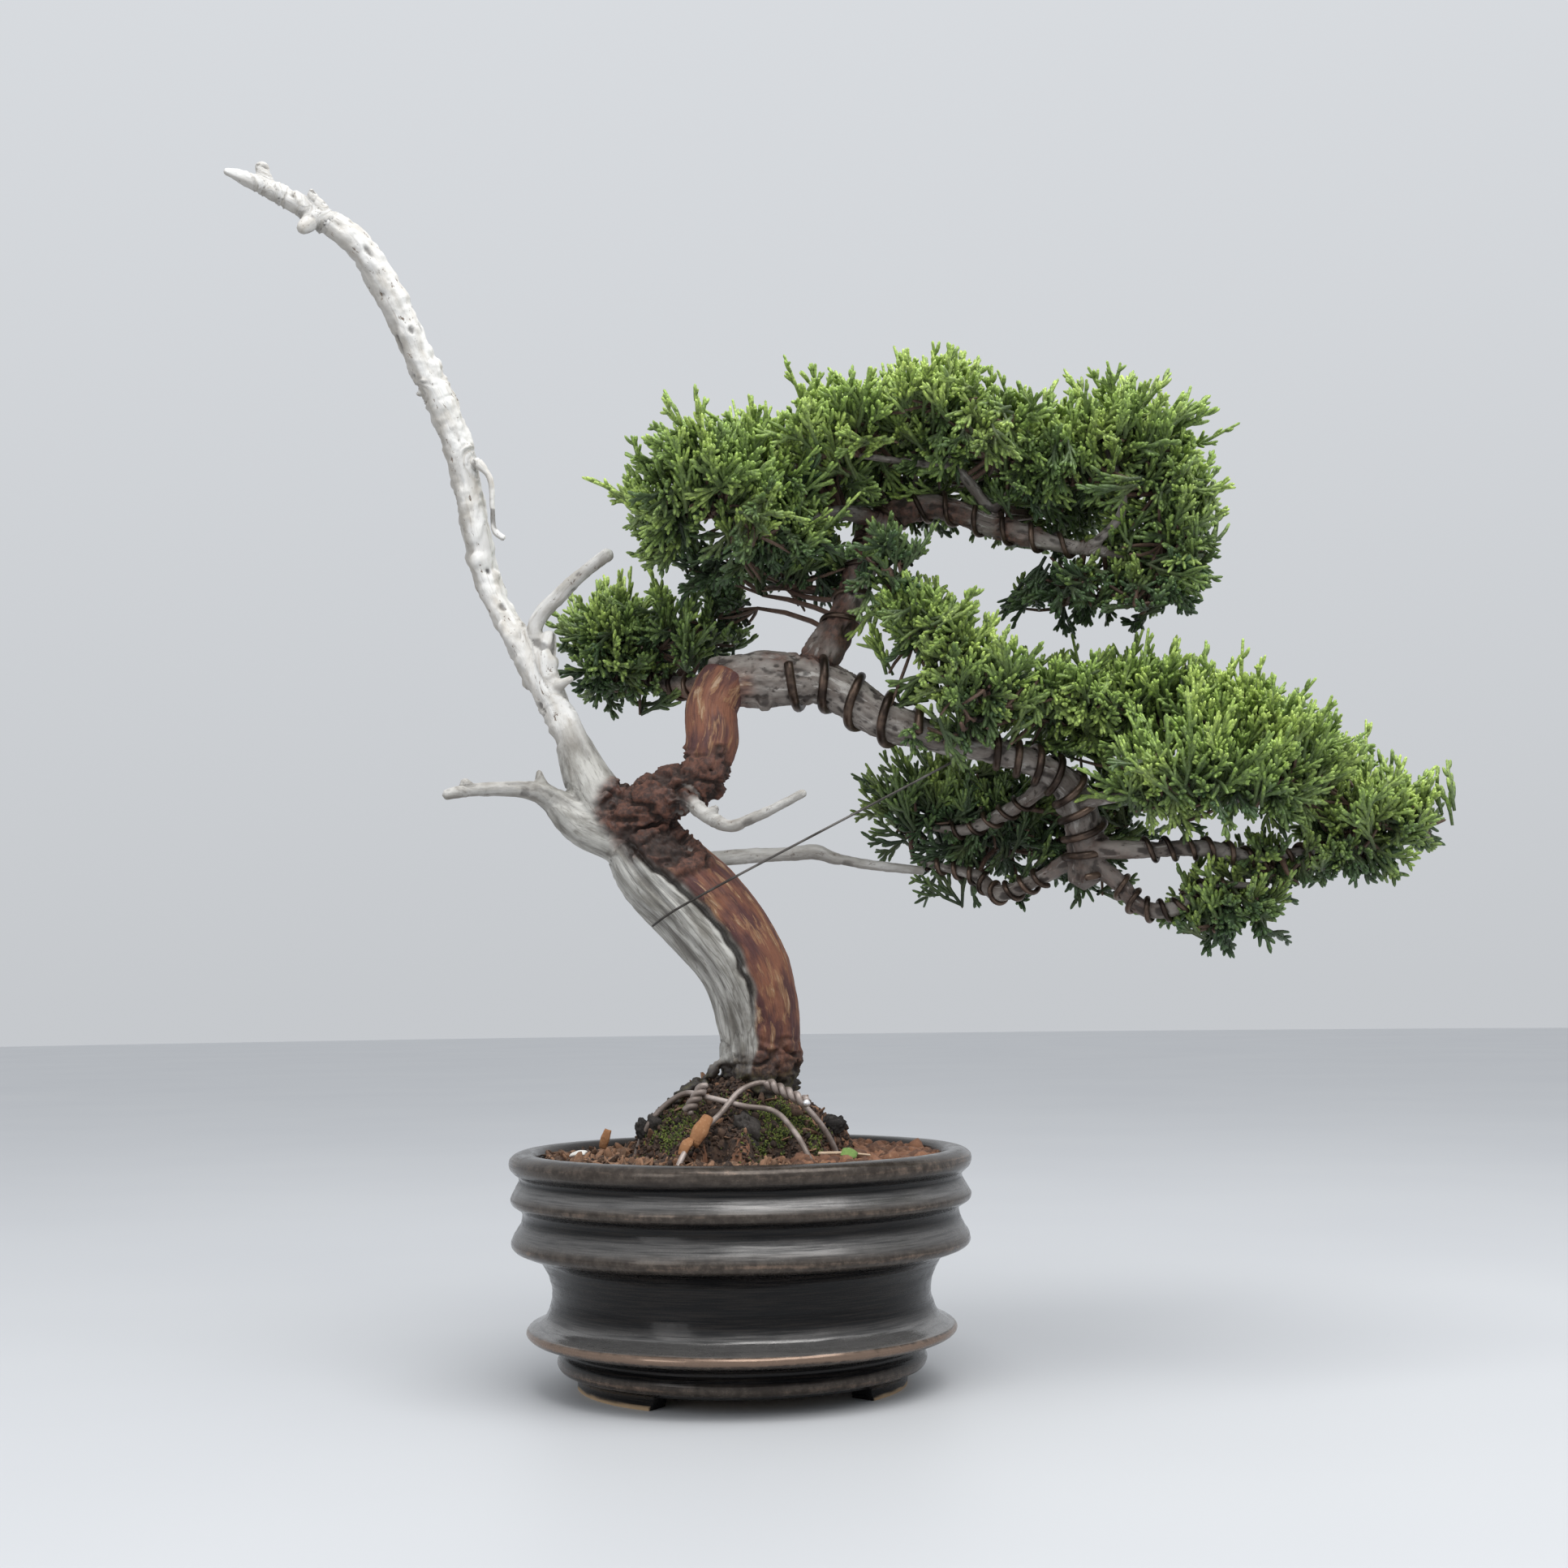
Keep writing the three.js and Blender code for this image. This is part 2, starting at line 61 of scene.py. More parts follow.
# Each woody limb is a list of [x, y, z, radius] along its middle, from its base to its tip.
DEADWOOD = {
    "trunk": [
        [6, 0, 78, 12], [6, 0, 95, 12], [6, -1, 115, 13.4], [1, -4, 134, 14.7], [-13, -5, 153, 15.5],
        [-26, -3, 166, 14.4], [-34, -1, 177, 12.4], [-42, 0, 186, 10],
    ],
    "surface_root": [[-5, -3, 103, 1.6], [-12, -6, 97, 1.7], [-21, -8, 91, 1.6], [-31, -7, 80, 1.4]],
    "dead_leader": [
        [-47, 0, 190, 9], [-56, 4, 212, 5], [-70, 10, 238, 5], [-84, 14, 264, 4.6], [-88, 12, 280, 4.9],
        [-95, 6, 314, 5.1], [-105, 2, 338, 4.8], [-117, -3, 364, 4.7], [-127, -6, 379, 4.7],
        [-142, -10, 389, 3.8], [-158, -14, 397, 2.8], [-169, -16, 401, 1.2],
    ],
    "leader_stub": [[-154, -13, 394, 2.6], [-157, -13, 401, 2.2], [-158, -13, 404, 1.9]],
    "leader_root": [[-37, -1, 179, 8.5], [-43, -1, 186, 9.6], [-49, 1, 195, 8.4], [-55, 4, 209, 5.8]],
    "jin_left_root": [[-40, -3, 176, 8.5], [-51, -3, 181, 7.6], [-60, -5, 188, 4.8]],
    "leader_knob": [[-139, -10, 388, 3], [-143, -13, 382.5, 2.4], [-144, -14, 381, 1.6]],
    "leader_boss": [[-138, -10, 389, 3], [-140.5, -12, 393, 1.8], [-141, -13, 395, 1]],
    "leader_strip": [
        [-88, 4, 306, 1.6], [-83, 4, 300, 1.1], [-82.3, 5, 290, 0.8], [-81.5, 6, 282, 1.1],
        [-78.5, 6, 279.5, 1.2],
    ],
    "leader_spur_low": [[-62, 6, 228, 3], [-58.5, 3, 229, 1.8], [-55, 1, 230.5, 1]],
    "leader_spur_mid": [[-102, 4, 330, 2], [-107.5, 2, 329, 0.8]],
    "leader_fold": [[-60, 8, 222, 3.6], [-64, 6, 236, 3.4], [-63.5, 9, 247, 2.2]],
    "jin_left": [
        [-54, -2, 184, 6], [-62, -6, 190, 4.4], [-68, -9, 192, 2.9], [-85, -17, 191.5, 2.1],
        [-90, -20, 190.5, 2], [-93.5, -22, 189.5, 1.7],
    ],
    "jin_left_bead": [[-86, -17, 192, 1.6], [-88, -19, 194, 1.7]],
    "jin_left_spur": [[-62, -6, 190, 3.2], [-64.5, -7, 195, 2], [-65, -7, 198.5, 0.9]],
    "jin_fork": [
        [-59, 6, 226, 1.6], [-66, 9, 240, 2], [-68, 9, 250, 2.5], [-59, 5, 260, 2.5], [-50, 1, 267, 2.1],
        [-42, -3, 272, 2.2],
    ],
    "upper_trunk": [
        [-35, -4, 180, 9], [-25, -8, 189, 8], [-13, -9, 194, 7.2], [-8, -8, 207, 7.8], [-8, -4, 219, 8],
        [-3, -1, 229, 8.3],
    ],
    "jin_right_upper": [
        [-22, -14, 190, 2.7], [-14, -18, 185.5, 2.5], [-8, -21, 181, 2.4], [-2, -22, 178.5, 1.9],
        [8, -26, 181.5, 1.7], [16, -29, 185, 1.4], [22, -31, 188, 1.4],
    ],
    "jin_right_knob": [[-9, -21, 182, 2.2], [-6, -22, 184.5, 1.2]],
    "jin_right_lower": [
        [-12, 3, 169, 2.7], [3, 13, 171, 2.7], [20, 17, 172, 2.4], [26, 18, 172.5, 2.6],
        [34, 20, 170, 1.8], [45, 22, 168, 1.7], [63, 26, 166, 1.5],
    ],
}
BRANCHES = {
    "main_branch": [
        [-6, 0, 229, 8.6], [15, 0, 229, 8.6], [30, -1, 227, 6.6], [49, -5, 215, 6.5], [66, -8, 208, 4.7],
        [90, -7, 202, 4.2], [108, -4, 193, 5], [115, 0, 177, 5.8], [115, 3, 161, 5.4],
    ],
    "crown_branch": [
        [24, 2, 230, 5.8], [37, 6, 252, 5], [44, 9, 272, 4.6], [52, 9, 285, 4.4], [67, 7, 289, 4.1],
        [90, 1, 280, 3.8], [109, -3, 273, 2.5], [145, -6, 267, 1.2],
    ],
    "crown_left_branch": [[50, 9, 285, 2.6], [36, 2, 286, 2.4], [19, -6, 281, 1.9], [-6, -10, 285, 1.1]],
    "crown_upper_branch": [[88, 2, 283, 2.2], [79, 0, 296, 1.9], [73, -2, 302, 1.6], [71, -2, 314, 1.1]],
    "crown_upper_left": [[74, -2, 301, 1.4], [62, -5, 301, 1.3], [42, -12, 302, 1]],
    "crown_upper_right": [[87, 2, 285, 1.6], [98, -6, 298, 1.3], [102, -8, 309, 1.1]],
    "crown_tip_branch": [[117, -4, 270, 1.9], [129, -10, 283, 1.5], [124, -10, 307, 1.1]],
    "left_branch": [[-8, 2, 229, 4.2], [-14, 20, 230, 3.7], [-27, 32, 233, 2.8], [-51, 36, 244, 1.4]],
    "right_upper_branch": [
        [70, -8, 207, 2.4], [84, -4, 216, 2], [104, 1, 222, 1.7], [130, 5, 219, 1.4], [160, 6, 214, 1.1],
        [184, 1, 211, 0.9],
    ],
    "spray_branch": [[74, -9, 208, 1.7], [79, -14, 221, 1.4], [70, -13, 236, 1.1], [60, -12, 250, 0.9]],
    "inner_upper_branch": [[106, 0, 195, 2.6], [93, 14, 186, 2.3], [77, 26, 180, 2], [67, 30, 181, 1.1]],
    "inner_lower_branch": [
        [114, 2, 170, 3], [99, 17, 161, 2.5], [88, 24, 158, 2.5], [82, 30, 164, 2], [62, 38, 170, 1.1],
    ],
    "right_front_branch": [
        [112, -3, 186, 2.4], [126, -18, 187, 1.8], [150, -24, 185, 1.4], [176, -20, 184, 1],
    ],
    "far_right_branch": [
        [116, -2, 171, 3.2], [130, -8, 170, 2.9], [154, -10, 170, 2.4], [169, -8, 167, 1.9],
        [185, -5, 169, 1.5], [229, 0, 174, 0.9],
    ],
    "bottom_branch": [
        [116, 0, 168, 3.2], [125, -3, 160, 2.9], [133, -5, 151, 2.7], [144, -7, 151, 2.1],
        [151, -8, 157, 1.6], [168, -10, 158, 1],
    ],
}

# The sides of a limb's tube, how softly the skin blends from limb to limb, and how pale a dead limb
# is, by the start of its name.
LIMB_SIDES = 20
LIMB_BLEND = 1.1
LIMB_PALENESS = {"dead": 1.0, "leader": 1.0, "jin": 0.6, "jin_fork": 0.85}

# The live bark on the trunk: its edge's angle from the front at shares of the length, and its width.
LIVE_EDGE_SHARE = [0, 0.16, 0.3, 0.45, 0.6, 0.75, 0.88, 1]
LIVE_EDGE_ANGLE = [-16, -12, -4, 4, 7, 3, -8, -14]
LIVE_WIDTH = 165

# Training wires: the limb, the shares of it where they start and end, the turns, radius and phase.
WINDINGS = {
    "main_branch_wire": ("main_branch", 0.15, 0.46, 4.1, 1.55, 2.4),
    "lower_branch_wire": ("main_branch", 0.60, 0.99, 8.5, 1.3, 0.0),
    "crown_branch_wire": ("crown_branch", 0.12, 0.82, 11, 0.9, 1.0),
    "left_branch_wire": ("left_branch", 0.25, 0.85, 4, 0.9, 0.5),
    "inner_upper_wire": ("inner_upper_branch", 0.25, 0.9, 5, 0.8, 0.0),
    "inner_lower_wire": ("inner_lower_branch", 0.25, 0.95, 8, 0.9, 2.0),
    "far_right_wire": ("far_right_branch", 0.15, 0.72, 10, 0.9, 0.0),
    "bottom_branch_wire": ("bottom_branch", 0.2, 0.9, 8, 0.9, 0.0),
}

TIE_RADIUS = 0.9
TIE_ROUTES = {
    "tie_wire_upper": [
        [-28, 0, 3.4], [-28, 0, 16], [-30, -30, 40], [-20, -45, 68], [-14, -36, 80], [-6, -29, 87],
        [1, -23, 94.5], [8, -20.5, 96.5], [14, -21, 94], [21, -22, 89], [30, -20, 76], [35, -4, 40],
        [28, 0, 16], [28, 0, 3.4],
    ],
    "tie_wire_lower": [
        [-28, 6, 16], [-36, -4, 50], [-30, -14, 82], [-18, -16, 93], [-9, -22, 92], [2, -25.5, 89.5],
        [11, -27, 88], [17, -33, 82.5], [22, -40, 74], [30, -34, 50], [28, -6, 16],
    ],
}
TWIST_RADIUS = 1.0
TIE_TWISTS = [([9, -21.5, 96.5], [21.5, -26, 90.5], 2.4), ([-11, -21, 96], [-16, -26, 88], 1.9)]
CUT_END = [[21.4, -26.6, 90.4, 1.15], [21.6, -27.6, 90.2, 1.15]]
GUY_RADIUS = 0.4
GUY_ROUTE = [[-27.5, -12, 147], [-20, -21.2, 151.5], [75.2, -14.5, 201.4]]

# Each foliage pad: overlapping lumps [x, y, z, half width, half depth, half height, fullness, painted light].
PADS = {
    "crown_left": [
        [-6, -10, 292, 27, 36, 20, 1, 0.7], [-29, 0, 283, 14, 23, 12, 1, 0.7],
        [7, -12, 274, 22, 26, 12, 0.8, 0.3],
    ],
    "crown_top_left": [[26, 5, 306, 23, 38, 19, 1, 0.8], [41, 5, 317, 16, 30, 13, 1, 0.9]],
    "crown_top": [[68, 0, 318, 20, 38, 16, 1, 0.9], [86, -5, 307, 18, 32, 15, 1, 0.7]],
    "crown_middle": [[112, 4, 300, 25, 36, 18, 1, 0.7]],
    "crown_right": [
        [132, -6, 310, 15, 25, 15, 1, 0.75], [147, 0, 295, 18, 30, 20, 1, 0.75],
        [148, 0, 274, 18, 27, 17, 1, 0.5],
    ],
    "crown_hanging": [[120, 12, 260, 29, 28, 10, 0.8, 0.1], [136, -6, 254, 19, 22, 8, 0.8, 0.1]],
    "crown_back": [[65, 46, 308, 36, 22, 20, 0.9, 0.6], [113, 44, 301, 26, 21, 18, 0.9, 0.6]],
    "crown_inner": [[51, -20, 269, 18, 13, 12, 0.7, 0.2]],
    "inner_left": [[12, 22, 266, 32, 20, 14, 0.5, 0.0]],
    "left": [
        [-37, 34, 249, 29, 30, 18, 1, 0.5], [-11, 34, 252, 16, 23, 11, 0.9, 0.3],
        [-40, 34, 234, 18, 20, 9, 0.9, 0.2],
    ],
    "right_spray": [
        [62, -14, 243, 21, 22, 16, 0.75, 0.8], [82, -19, 224, 20, 20, 16, 0.8, 0.6],
        [72, -21, 214, 15, 10, 12, 0.6, 0.6],
    ],
    "right_upper": [[113, 4, 221, 25, 34, 17, 1, 0.9], [136, 6, 219, 17, 30, 16, 1, 0.8]],
    "right_middle": [[159, 6, 213, 21, 33, 18, 1, 0.78], [181, 0, 206, 18, 27, 18, 1, 0.68]],
    "right_front": [[140, -26, 193, 24, 20, 16, 1, 0.7], [172, -20, 192, 23, 23, 16, 1, 0.62]],
    "far_right": [
        [203, 0, 184, 20, 25, 16, 1, 0.62], [223, 0, 180, 15, 20, 12, 1, 0.55],
        [202, 0, 167, 15, 18, 11, 0.9, 0.3],
    ],
    "lower_left": [[68, 40, 189, 26, 22, 18, 0.9, 0.1], [93, 40, 184, 22, 22, 20, 0.9, 0.1]],
    "lower_back": [[124, 42, 184, 21, 19, 22, 0.9, 0.2]],
    "bottom_right": [[164, -4, 150, 22, 20, 12, 1, 0.35], [178, -4, 164, 18, 18, 9, 0.7, 0.4]],
}

# How sharply lumps blend into one mass, the area of skin in square mm for each fan of shoots, its
# sprays, the share of fans inside the mass, and where along a spray its side shoots fork off.
MASS_BLEND = 5.0
AREA_PER_FAN = 84.0
SPRAYS_PER_FAN = 3
INNER_SHARE = 0.34
SIDE_SHOOTS = [0.24, 0.41, 0.57, 0.72, 0.86]

# Openings through the foliage, each [x, y, z, half width, half depth, half height].
OPENINGS = np.array([
    [70, -30, 286, 36, 30, 12], [80, 0, 266, 20, 70, 10], [118, 0, 243, 34, 70, 5],
    [94, -30, 191, 23, 24, 14],
])

# The outside of the pot from the foot up, over the lip and down to the floor: [radius, height].
POT_PROFILE = [
    [53, 0], [53.6, 3], [55.4, 4.8], [58.8, 6.4], [59.7, 8.4], [58.9, 10.4], [57.8, 12.2], [59.4, 13.7],
    [64.5, 14.9], [68, 16], [69.4, 17.5], [68.8, 19], [66, 20.4], [63.4, 22.4], [61.7, 26], [61.2, 30],
    [61.9, 34], [64, 38.8], [66.4, 41.2], [70.4, 42.7], [73.2, 44], [74.3, 45.6], [73.9, 47.4], [72.5, 50],
    [71.2, 52.4], [70.7, 54.4], [71.2, 56.2], [73, 57.5], [74.4, 58.6], [74.7, 60], [74, 61.8],
    [72.7, 63.8], [71.9, 65.6], [72.2, 67], [73.6, 68.2], [74.8, 69.6], [75.1, 71.2], [74.5, 73],
    [72.8, 74.2], [70, 74.6], [67.6, 74.1], [66.2, 72.4], [65.6, 69], [64, 55], [62, 38], [57.5, 20],
    [54, 13.6], [50, 12],
]
POT_COLUMNS = 240
FOOT_IN, FOOT_HIGH, DRAIN = 45, 5, 9
# Gaps between the feet: the angle of each one's middle from the front, and its width in degrees.
FOOT_GAPS = [[9.7, 75], [129.7, 50], [249.7, 50]]

# The ground: the pot's inside radius, how far out litter lies, the grid of each sheet of ground, and
# the mound's height at distances from its middle.
POT_MOUTH = 65
LITTER_REACH = 64.0
GROUND_RINGS, GROUND_COLUMNS = 120, 300
SOIL_TOP = 72
MOUND_MIDDLE = (-1.0, 0.0)
MOUND_REACH = [0, 12, 18, 26, 32, 36]
MOUND_HEIGHT = [97, 95, 90.5, 85, 79, 70]

# Moss: the middle of each patch, its reach each way and its number of leaves.
MOSS_PATCHES = {
    "moss_front": ([14, -23], [15, 10], 3600),
    "moss_left": ([-20, -20], [9, 8], 1100),
    "moss_rim": ([57, 18], [4, 3], 260),
}

# Flakes: two end places, width, thickness, curl and the way that each one faces.
BARK_CHIPS = [
    ([-14, -38, 78.5], [-9, -33, 87], 4.2, 0.6, 1.6, [0.2, -0.9, 0.5]),
    ([-17.5, -40, 75.5], [-14.5, -38, 80.5], 3.2, 0.6, 0.8, [-0.3, -0.8, 0.5]),
    ([-44, -14, 76], [-42, -15, 82], 2.6, 0.5, 0.6, [0, -1, 0.2]),
]
PALE_CHIP = ([-54, -14, 74.2], [-49, -17, 74.9], 2.8, 0.6, 0.4, [0, -0.5, 1])
FALLEN_LEAF = ([33, -38, 74.2], [36, -33, 76], 4.2, 0.25, 0.7, [0.2, -0.7, 0.7])
STICK = [[25, -30, 74.8, 0.6], [33, -31, 74.9, 0.5], [41, -31, 74.2, 0.35]]
# Charred old roots: [x, y, z, size].
CHARRED_ROOTS = np.array([
    [2.5, -25, 82, 5.2], [4, -27, 76, 3.6], [-31, -12, 81, 3.4], [-27, -14, 84, 2.6], [30, -10, 82, 4.0],
    [-8, -28, 78, 2.4],
])

# The studio's round floor.
FLOOR_RADIUS, FLOOR_SIDES = 6000, 96

# ------------------------------------------------------------------ numbers: noise and curves


def lattice(i, j, k, seed):
    """A value from -1 to 1 at each whole-numbered place, mixed from its numbers and the seed."""
    h = (i * 374761393 + j * 668265263 + k * 1440662683 + seed * 1013904223) & 0xFFFFFFFF
    h = ((h ^ (h >> 13)) * 1274126177) & 0xFFFFFFFF
    h = ((h ^ (h >> 15)) * 2246822519) & 0xFFFFFFFF
    return ((h ^ (h >> 16)) & 0xFFFF) / 32767.5 - 1


def noise(points, seed=0):
    """Smooth value noise from -1 to 1 at each point, with features one unit across."""
    base = np.floor(points).astype(np.int64)
    f = points - base
    f = f * f * (3 - 2 * f)
    total = np.zeros(len(points))
    for corner in range(8):
        o = np.array([corner & 1, corner >> 1 & 1, corner >> 2 & 1])
        weight = np.prod(np.where(o, f, 1 - f), axis=1)
        total += weight * lattice(*(base + o).T, seed)
    return total


def layered(points, octaves, seed=0):
    """Noise with finer and fainter noise laid over it."""
    return sum(noise(points * 2**k + 17.3 * k, seed + k) / 2**k for k in range(octaves)) / 1.6


def smooth_step(low, high, x):
    """0 below low, 1 above high and a smooth curve between; low may be the larger one."""
    t = np.clip((x - low) / (high - low), 0, 1)
    return t * t * (3 - 2 * t)


def unit(v):
    """Vectors of length 1 in the same directions."""
    return v / np.maximum(np.linalg.norm(v, axis=-1, keepdims=True), 1e-9)


def even_angles(count):
    """The angles of so many even steps round a circle."""
    return np.arange(count) * 2 * np.pi / count


def tree_of(places):
    """A tree that finds the nearest of some places."""
    tree = KDTree(len(places))
    for i, place in enumerate(places):
        tree.insert(place, i)
    tree.balance()
    return tree


def spline(points, step):
    """Places about a step apart on a centripetal Catmull-Rom curve through points of any width."""
    p = np.array(points, float)
    p = np.vstack([2 * p[0] - p[1], p, 2 * p[-1] - p[-2]])
    out = []
    for a, b, c, d in zip(p, p[1:], p[2:], p[3:]):
        gaps = [np.linalg.norm((q - r)[:3]) ** 0.5 + 1e-6 for q, r in ((b, a), (c, b), (d, c))]
        t0, t1, t2, t3 = np.cumsum([0] + gaps)
        count = max(1, math.ceil(np.linalg.norm((c - b)[:3]) / step))
        t = np.linspace(t1, t2, count, endpoint=False)[:, None]
        ab = ((t1 - t) * a + (t - t0) * b) / (t1 - t0)
        bc = ((t2 - t) * b + (t - t1) * c) / (t2 - t1)
        cd = ((t3 - t) * c + (t - t2) * d) / (t3 - t2)
        abc = ((t2 - t) * ab + (t - t0) * bc) / (t2 - t0)
        bcd = ((t3 - t) * bc + (t - t1) * cd) / (t3 - t1)
        out.append(((t2 - t) * abc + (t - t1) * bcd) / (t2 - t1))
    return np.vstack(out + [p[-2:-1]])


class Course:
    """A limb's middle line: its centres, radii and a frame carried along it without twisting."""

    def __init__(self, points, step):
        line = spline(points, step)
        self.centre = line[:, :3]
        self.radius = np.maximum(line[:, 3], 0.3)
        self.along = unit(np.gradient(self.centre, axis=0))
        gaps = np.linalg.norm(np.diff(self.centre, axis=0), axis=1)
        self.distance = np.concatenate([[0], np.cumsum(gaps)])
        side = np.array([0.31, 0.87, 0.38])
        across = []
        for t in self.along:
            side = unit(side - t * side.dot(t))
            across.append(side)
        self.across = np.array(across)
        self.up = np.cross(self.along, self.across)

    def at(self, values, share):
        """Values of the course at a share of its length."""
        s = share * self.distance[-1]
        columns = [np.interp(s, self.distance, column) for column in np.atleast_2d(values.T)]
        return np.stack(columns, axis=-1)


# ------------------------------------------------------------------ meshes


def new_mesh(name, verts, face_groups, smooth=True):
    """A mesh from places in millimetres and arrays of faces, each array with one number of corners."""
    mesh = bpy.data.meshes.new(name)
    mesh.vertices.add(len(verts))
    mesh.vertices.foreach_set("co", ((verts + AXIS) * MM).astype(np.float32).ravel())
    corners = np.concatenate([g.ravel() for g in face_groups]).astype(np.int32)
    sizes = np.concatenate([np.full(len(g), g.shape[1]) for g in face_groups])
    starts = np.concatenate([[0], np.cumsum(sizes)[:-1]]).astype(np.int32)
    mesh.loops.add(len(corners))
    mesh.loops.foreach_set("vertex_index", corners)
    mesh.polygons.add(len(sizes))
    mesh.polygons.foreach_set("loop_start", starts)
    mesh.polygons.foreach_set("use_smooth", np.full(len(sizes), smooth))
    mesh.update(calc_edges=True)
    mesh.validate()
    return mesh


def set_attributes(mesh, **attributes):
    """Each value or vector for every vertex, stored under its name for the materials."""
    for name, values in attributes.items():
        kind, field = ("FLOAT", "value") if values.ndim == 1 else ("FLOAT_VECTOR", "vector")
        attribute = mesh.attributes.new(name, kind, "POINT")
        attribute.data.foreach_set(field, values.astype(np.float32).ravel())


def add_piece(name, data, material, replaced=()):
    """Put mesh or curve data in the scene as a piece of the one body, in place of some CAD nodes."""
    piece = bpy.data.objects.new(name, data)
    bpy.context.scene.collection.objects.link(piece)
    data.materials.append(material)
    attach(piece, "root")
    if replaced:
        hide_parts(*replaced)
    return piece


def mesh_places(mesh):
    co = np.zeros(len(mesh.vertices) * 3, np.float32)
    mesh.vertices.foreach_get("co", co)
    return co.reshape(-1, 3) / MM - AXIS


def mesh_normals(mesh):
    n = np.zeros(len(mesh.vertices) * 3, np.float32)
    mesh.vertex_normals.foreach_get("vector", n)
    return n.reshape(-1, 3).astype(float)


def move_places(mesh, places):
    mesh.vertices.foreach_set("co", ((places + AXIS) * MM).astype(np.float32).ravel())
    mesh.update()


def grid_faces(rows, columns, closed=True):
    """Quads between the rings of a tube whose rings have so many columns."""
    across = columns if closed else columns - 1
    i, j = np.meshgrid(np.arange(rows - 1), np.arange(across), indexing="ij")
    a = (i * columns + j).ravel()
    b = (i * columns + (j + 1) % columns).ravel()
    return np.stack([a, b, b + columns, a + columns], axis=1)


def fan_faces(hub, start, count, turned=False):
    """Triangles from a hub to each side of a ring, given the hub's number and the ring's first."""
    a = start + np.arange(count)
    b = start + (np.arange(count) + 1) % count
    return np.stack([np.full(count, hub), b, a] if turned else [np.full(count, hub), a, b], axis=1)


def tube(course, sides, radius=None):
    """Verts and faces of a closed tube along a course."""
    radius = course.radius if radius is None else np.full(len(course.radius), radius)
    angle = even_angles(sides)[:, None]
    spokes = course.across[:, None] * np.cos(angle) + course.up[:, None] * np.sin(angle)
    rings = course.centre[:, None] + spokes * radius[:, None, None]
    start = course.centre[:1] - course.along[:1] * radius[0] * 0.5
    end = course.centre[-1:] + course.along[-1:] * radius[-1] * 0.7
    verts = np.vstack([rings.reshape(-1, 3), start, end])
    n = len(course.centre)
    low = fan_faces(n * sides, 0, sides, turned=True)
    high = fan_faces(n * sides + 1, (n - 1) * sides, sides)
    return verts, [grid_faces(n, sides), np.vstack([low, high])]


def merged(parts):
    """One list of verts and faces from several, with faces grouped by size."""
    verts, groups, offset = [], {}, 0
    for v, faces in parts:
        verts.append(v)
        for g in faces:
            groups.setdefault(g.shape[1], []).append(g + offset)
        offset += len(v)
    return np.vstack(verts), [np.vstack(g) for g in groups.values()]


# ------------------------------------------------------------------ materials


class Shader:
    """A node material with one Principled shader, and short calls for making and joining nodes."""

    def __init__(self, name, **sockets):
        self.material = bpy.data.materials.new(name)
        self.material.use_nodes = True
        self.tree = self.material.node_tree
        self.principled = self.tree.nodes["Principled BSDF"]
        for socket, value in sockets.items():
            self.principled.inputs[socket.replace("_", " ")].default_value = value

    def node(self, kind, inputs, **settings):
        """A new node; each input is a socket to link to or a plain value."""
        made = self.tree.nodes.new(kind)
        for key, value in settings.items():
            setattr(made, key, value)
        for key, value in inputs.items():
            if isinstance(value, bpy.types.NodeSocket):
                self.tree.links.new(value, made.inputs[key])
            else:
                made.inputs[key].default_value = value
        return made

    def attribute(self, name, output="Fac"):
        return self.node("ShaderNodeAttribute", {}, attribute_name=name).outputs[output]

    def place(self, scale, source):
        """Coordinates in millimetres, or those of a vector attribute, times one scale or three."""
        scale = scale if isinstance(scale, tuple) else (scale,) * 3
        if source is None:
            coordinates = self.node("ShaderNodeTexCoord", {}).outputs["Object"]
            scale = tuple(s / MM for s in scale)
        else:
            coordinates = self.attribute(source, "Vector")
        return self.node("ShaderNodeMapping", {"Vector": coordinates, "Scale": scale}).outputs["Vector"]

    def noise(self, scale, detail=3.0, roughness=0.55, distortion=0.0, source=None):
        """Noise from 0 to 1 over the coordinates that place() gives."""
        inputs = {"Vector": self.place(scale, source), "Scale": 1.0, "Detail": detail,
                  "Roughness": roughness, "Distortion": distortion}
        return self.node("ShaderNodeTexNoise", inputs).outputs["Fac"]

    def cells(self, scale):
        """Distance from the nearest of many scattered points."""
        inputs = {"Vector": self.place(scale, None), "Scale": 1.0}
        return self.node("ShaderNodeTexVoronoi", inputs, feature="F1").outputs["Distance"]

    def spread(self, value, low, high, to_low=0.0, to_high=1.0):
        """A smooth step of a value from one range to another."""
        inputs = {"Value": value, "From Min": low, "From Max": high, "To Min": to_low, "To Max": to_high}
        return self.node("ShaderNodeMapRange", inputs, interpolation_type="SMOOTHSTEP").outputs["Result"]

    def maths(self, operation, a, b=0.0):
        return self.node("ShaderNodeMath", {0: a, 1: b}, operation=operation).outputs[0]

    def mix(self, share, a, b):
        """A share of the way from one colour to another: a mix node's inputs 0, 6 and 7."""
        inputs = {}
        for key, value in ((6, a), (7, b)):
            inputs[key] = value if isinstance(value, bpy.types.NodeSocket) else (*value, 1)
        inputs[0] = share
        return self.node("ShaderNodeMix", inputs, data_type="RGBA").outputs[2]

    def bump(self, height, distance, strength=1.0, normal=None):
        inputs = {"Height": height, "Distance": distance * MM, "Strength": strength}
        if normal is not None:
            inputs["Normal"] = normal
        return self.node("ShaderNodeBump", inputs).outputs["Normal"]

    def set(self, socket, value):
        self.tree.links.new(value, self.principled.inputs[socket])


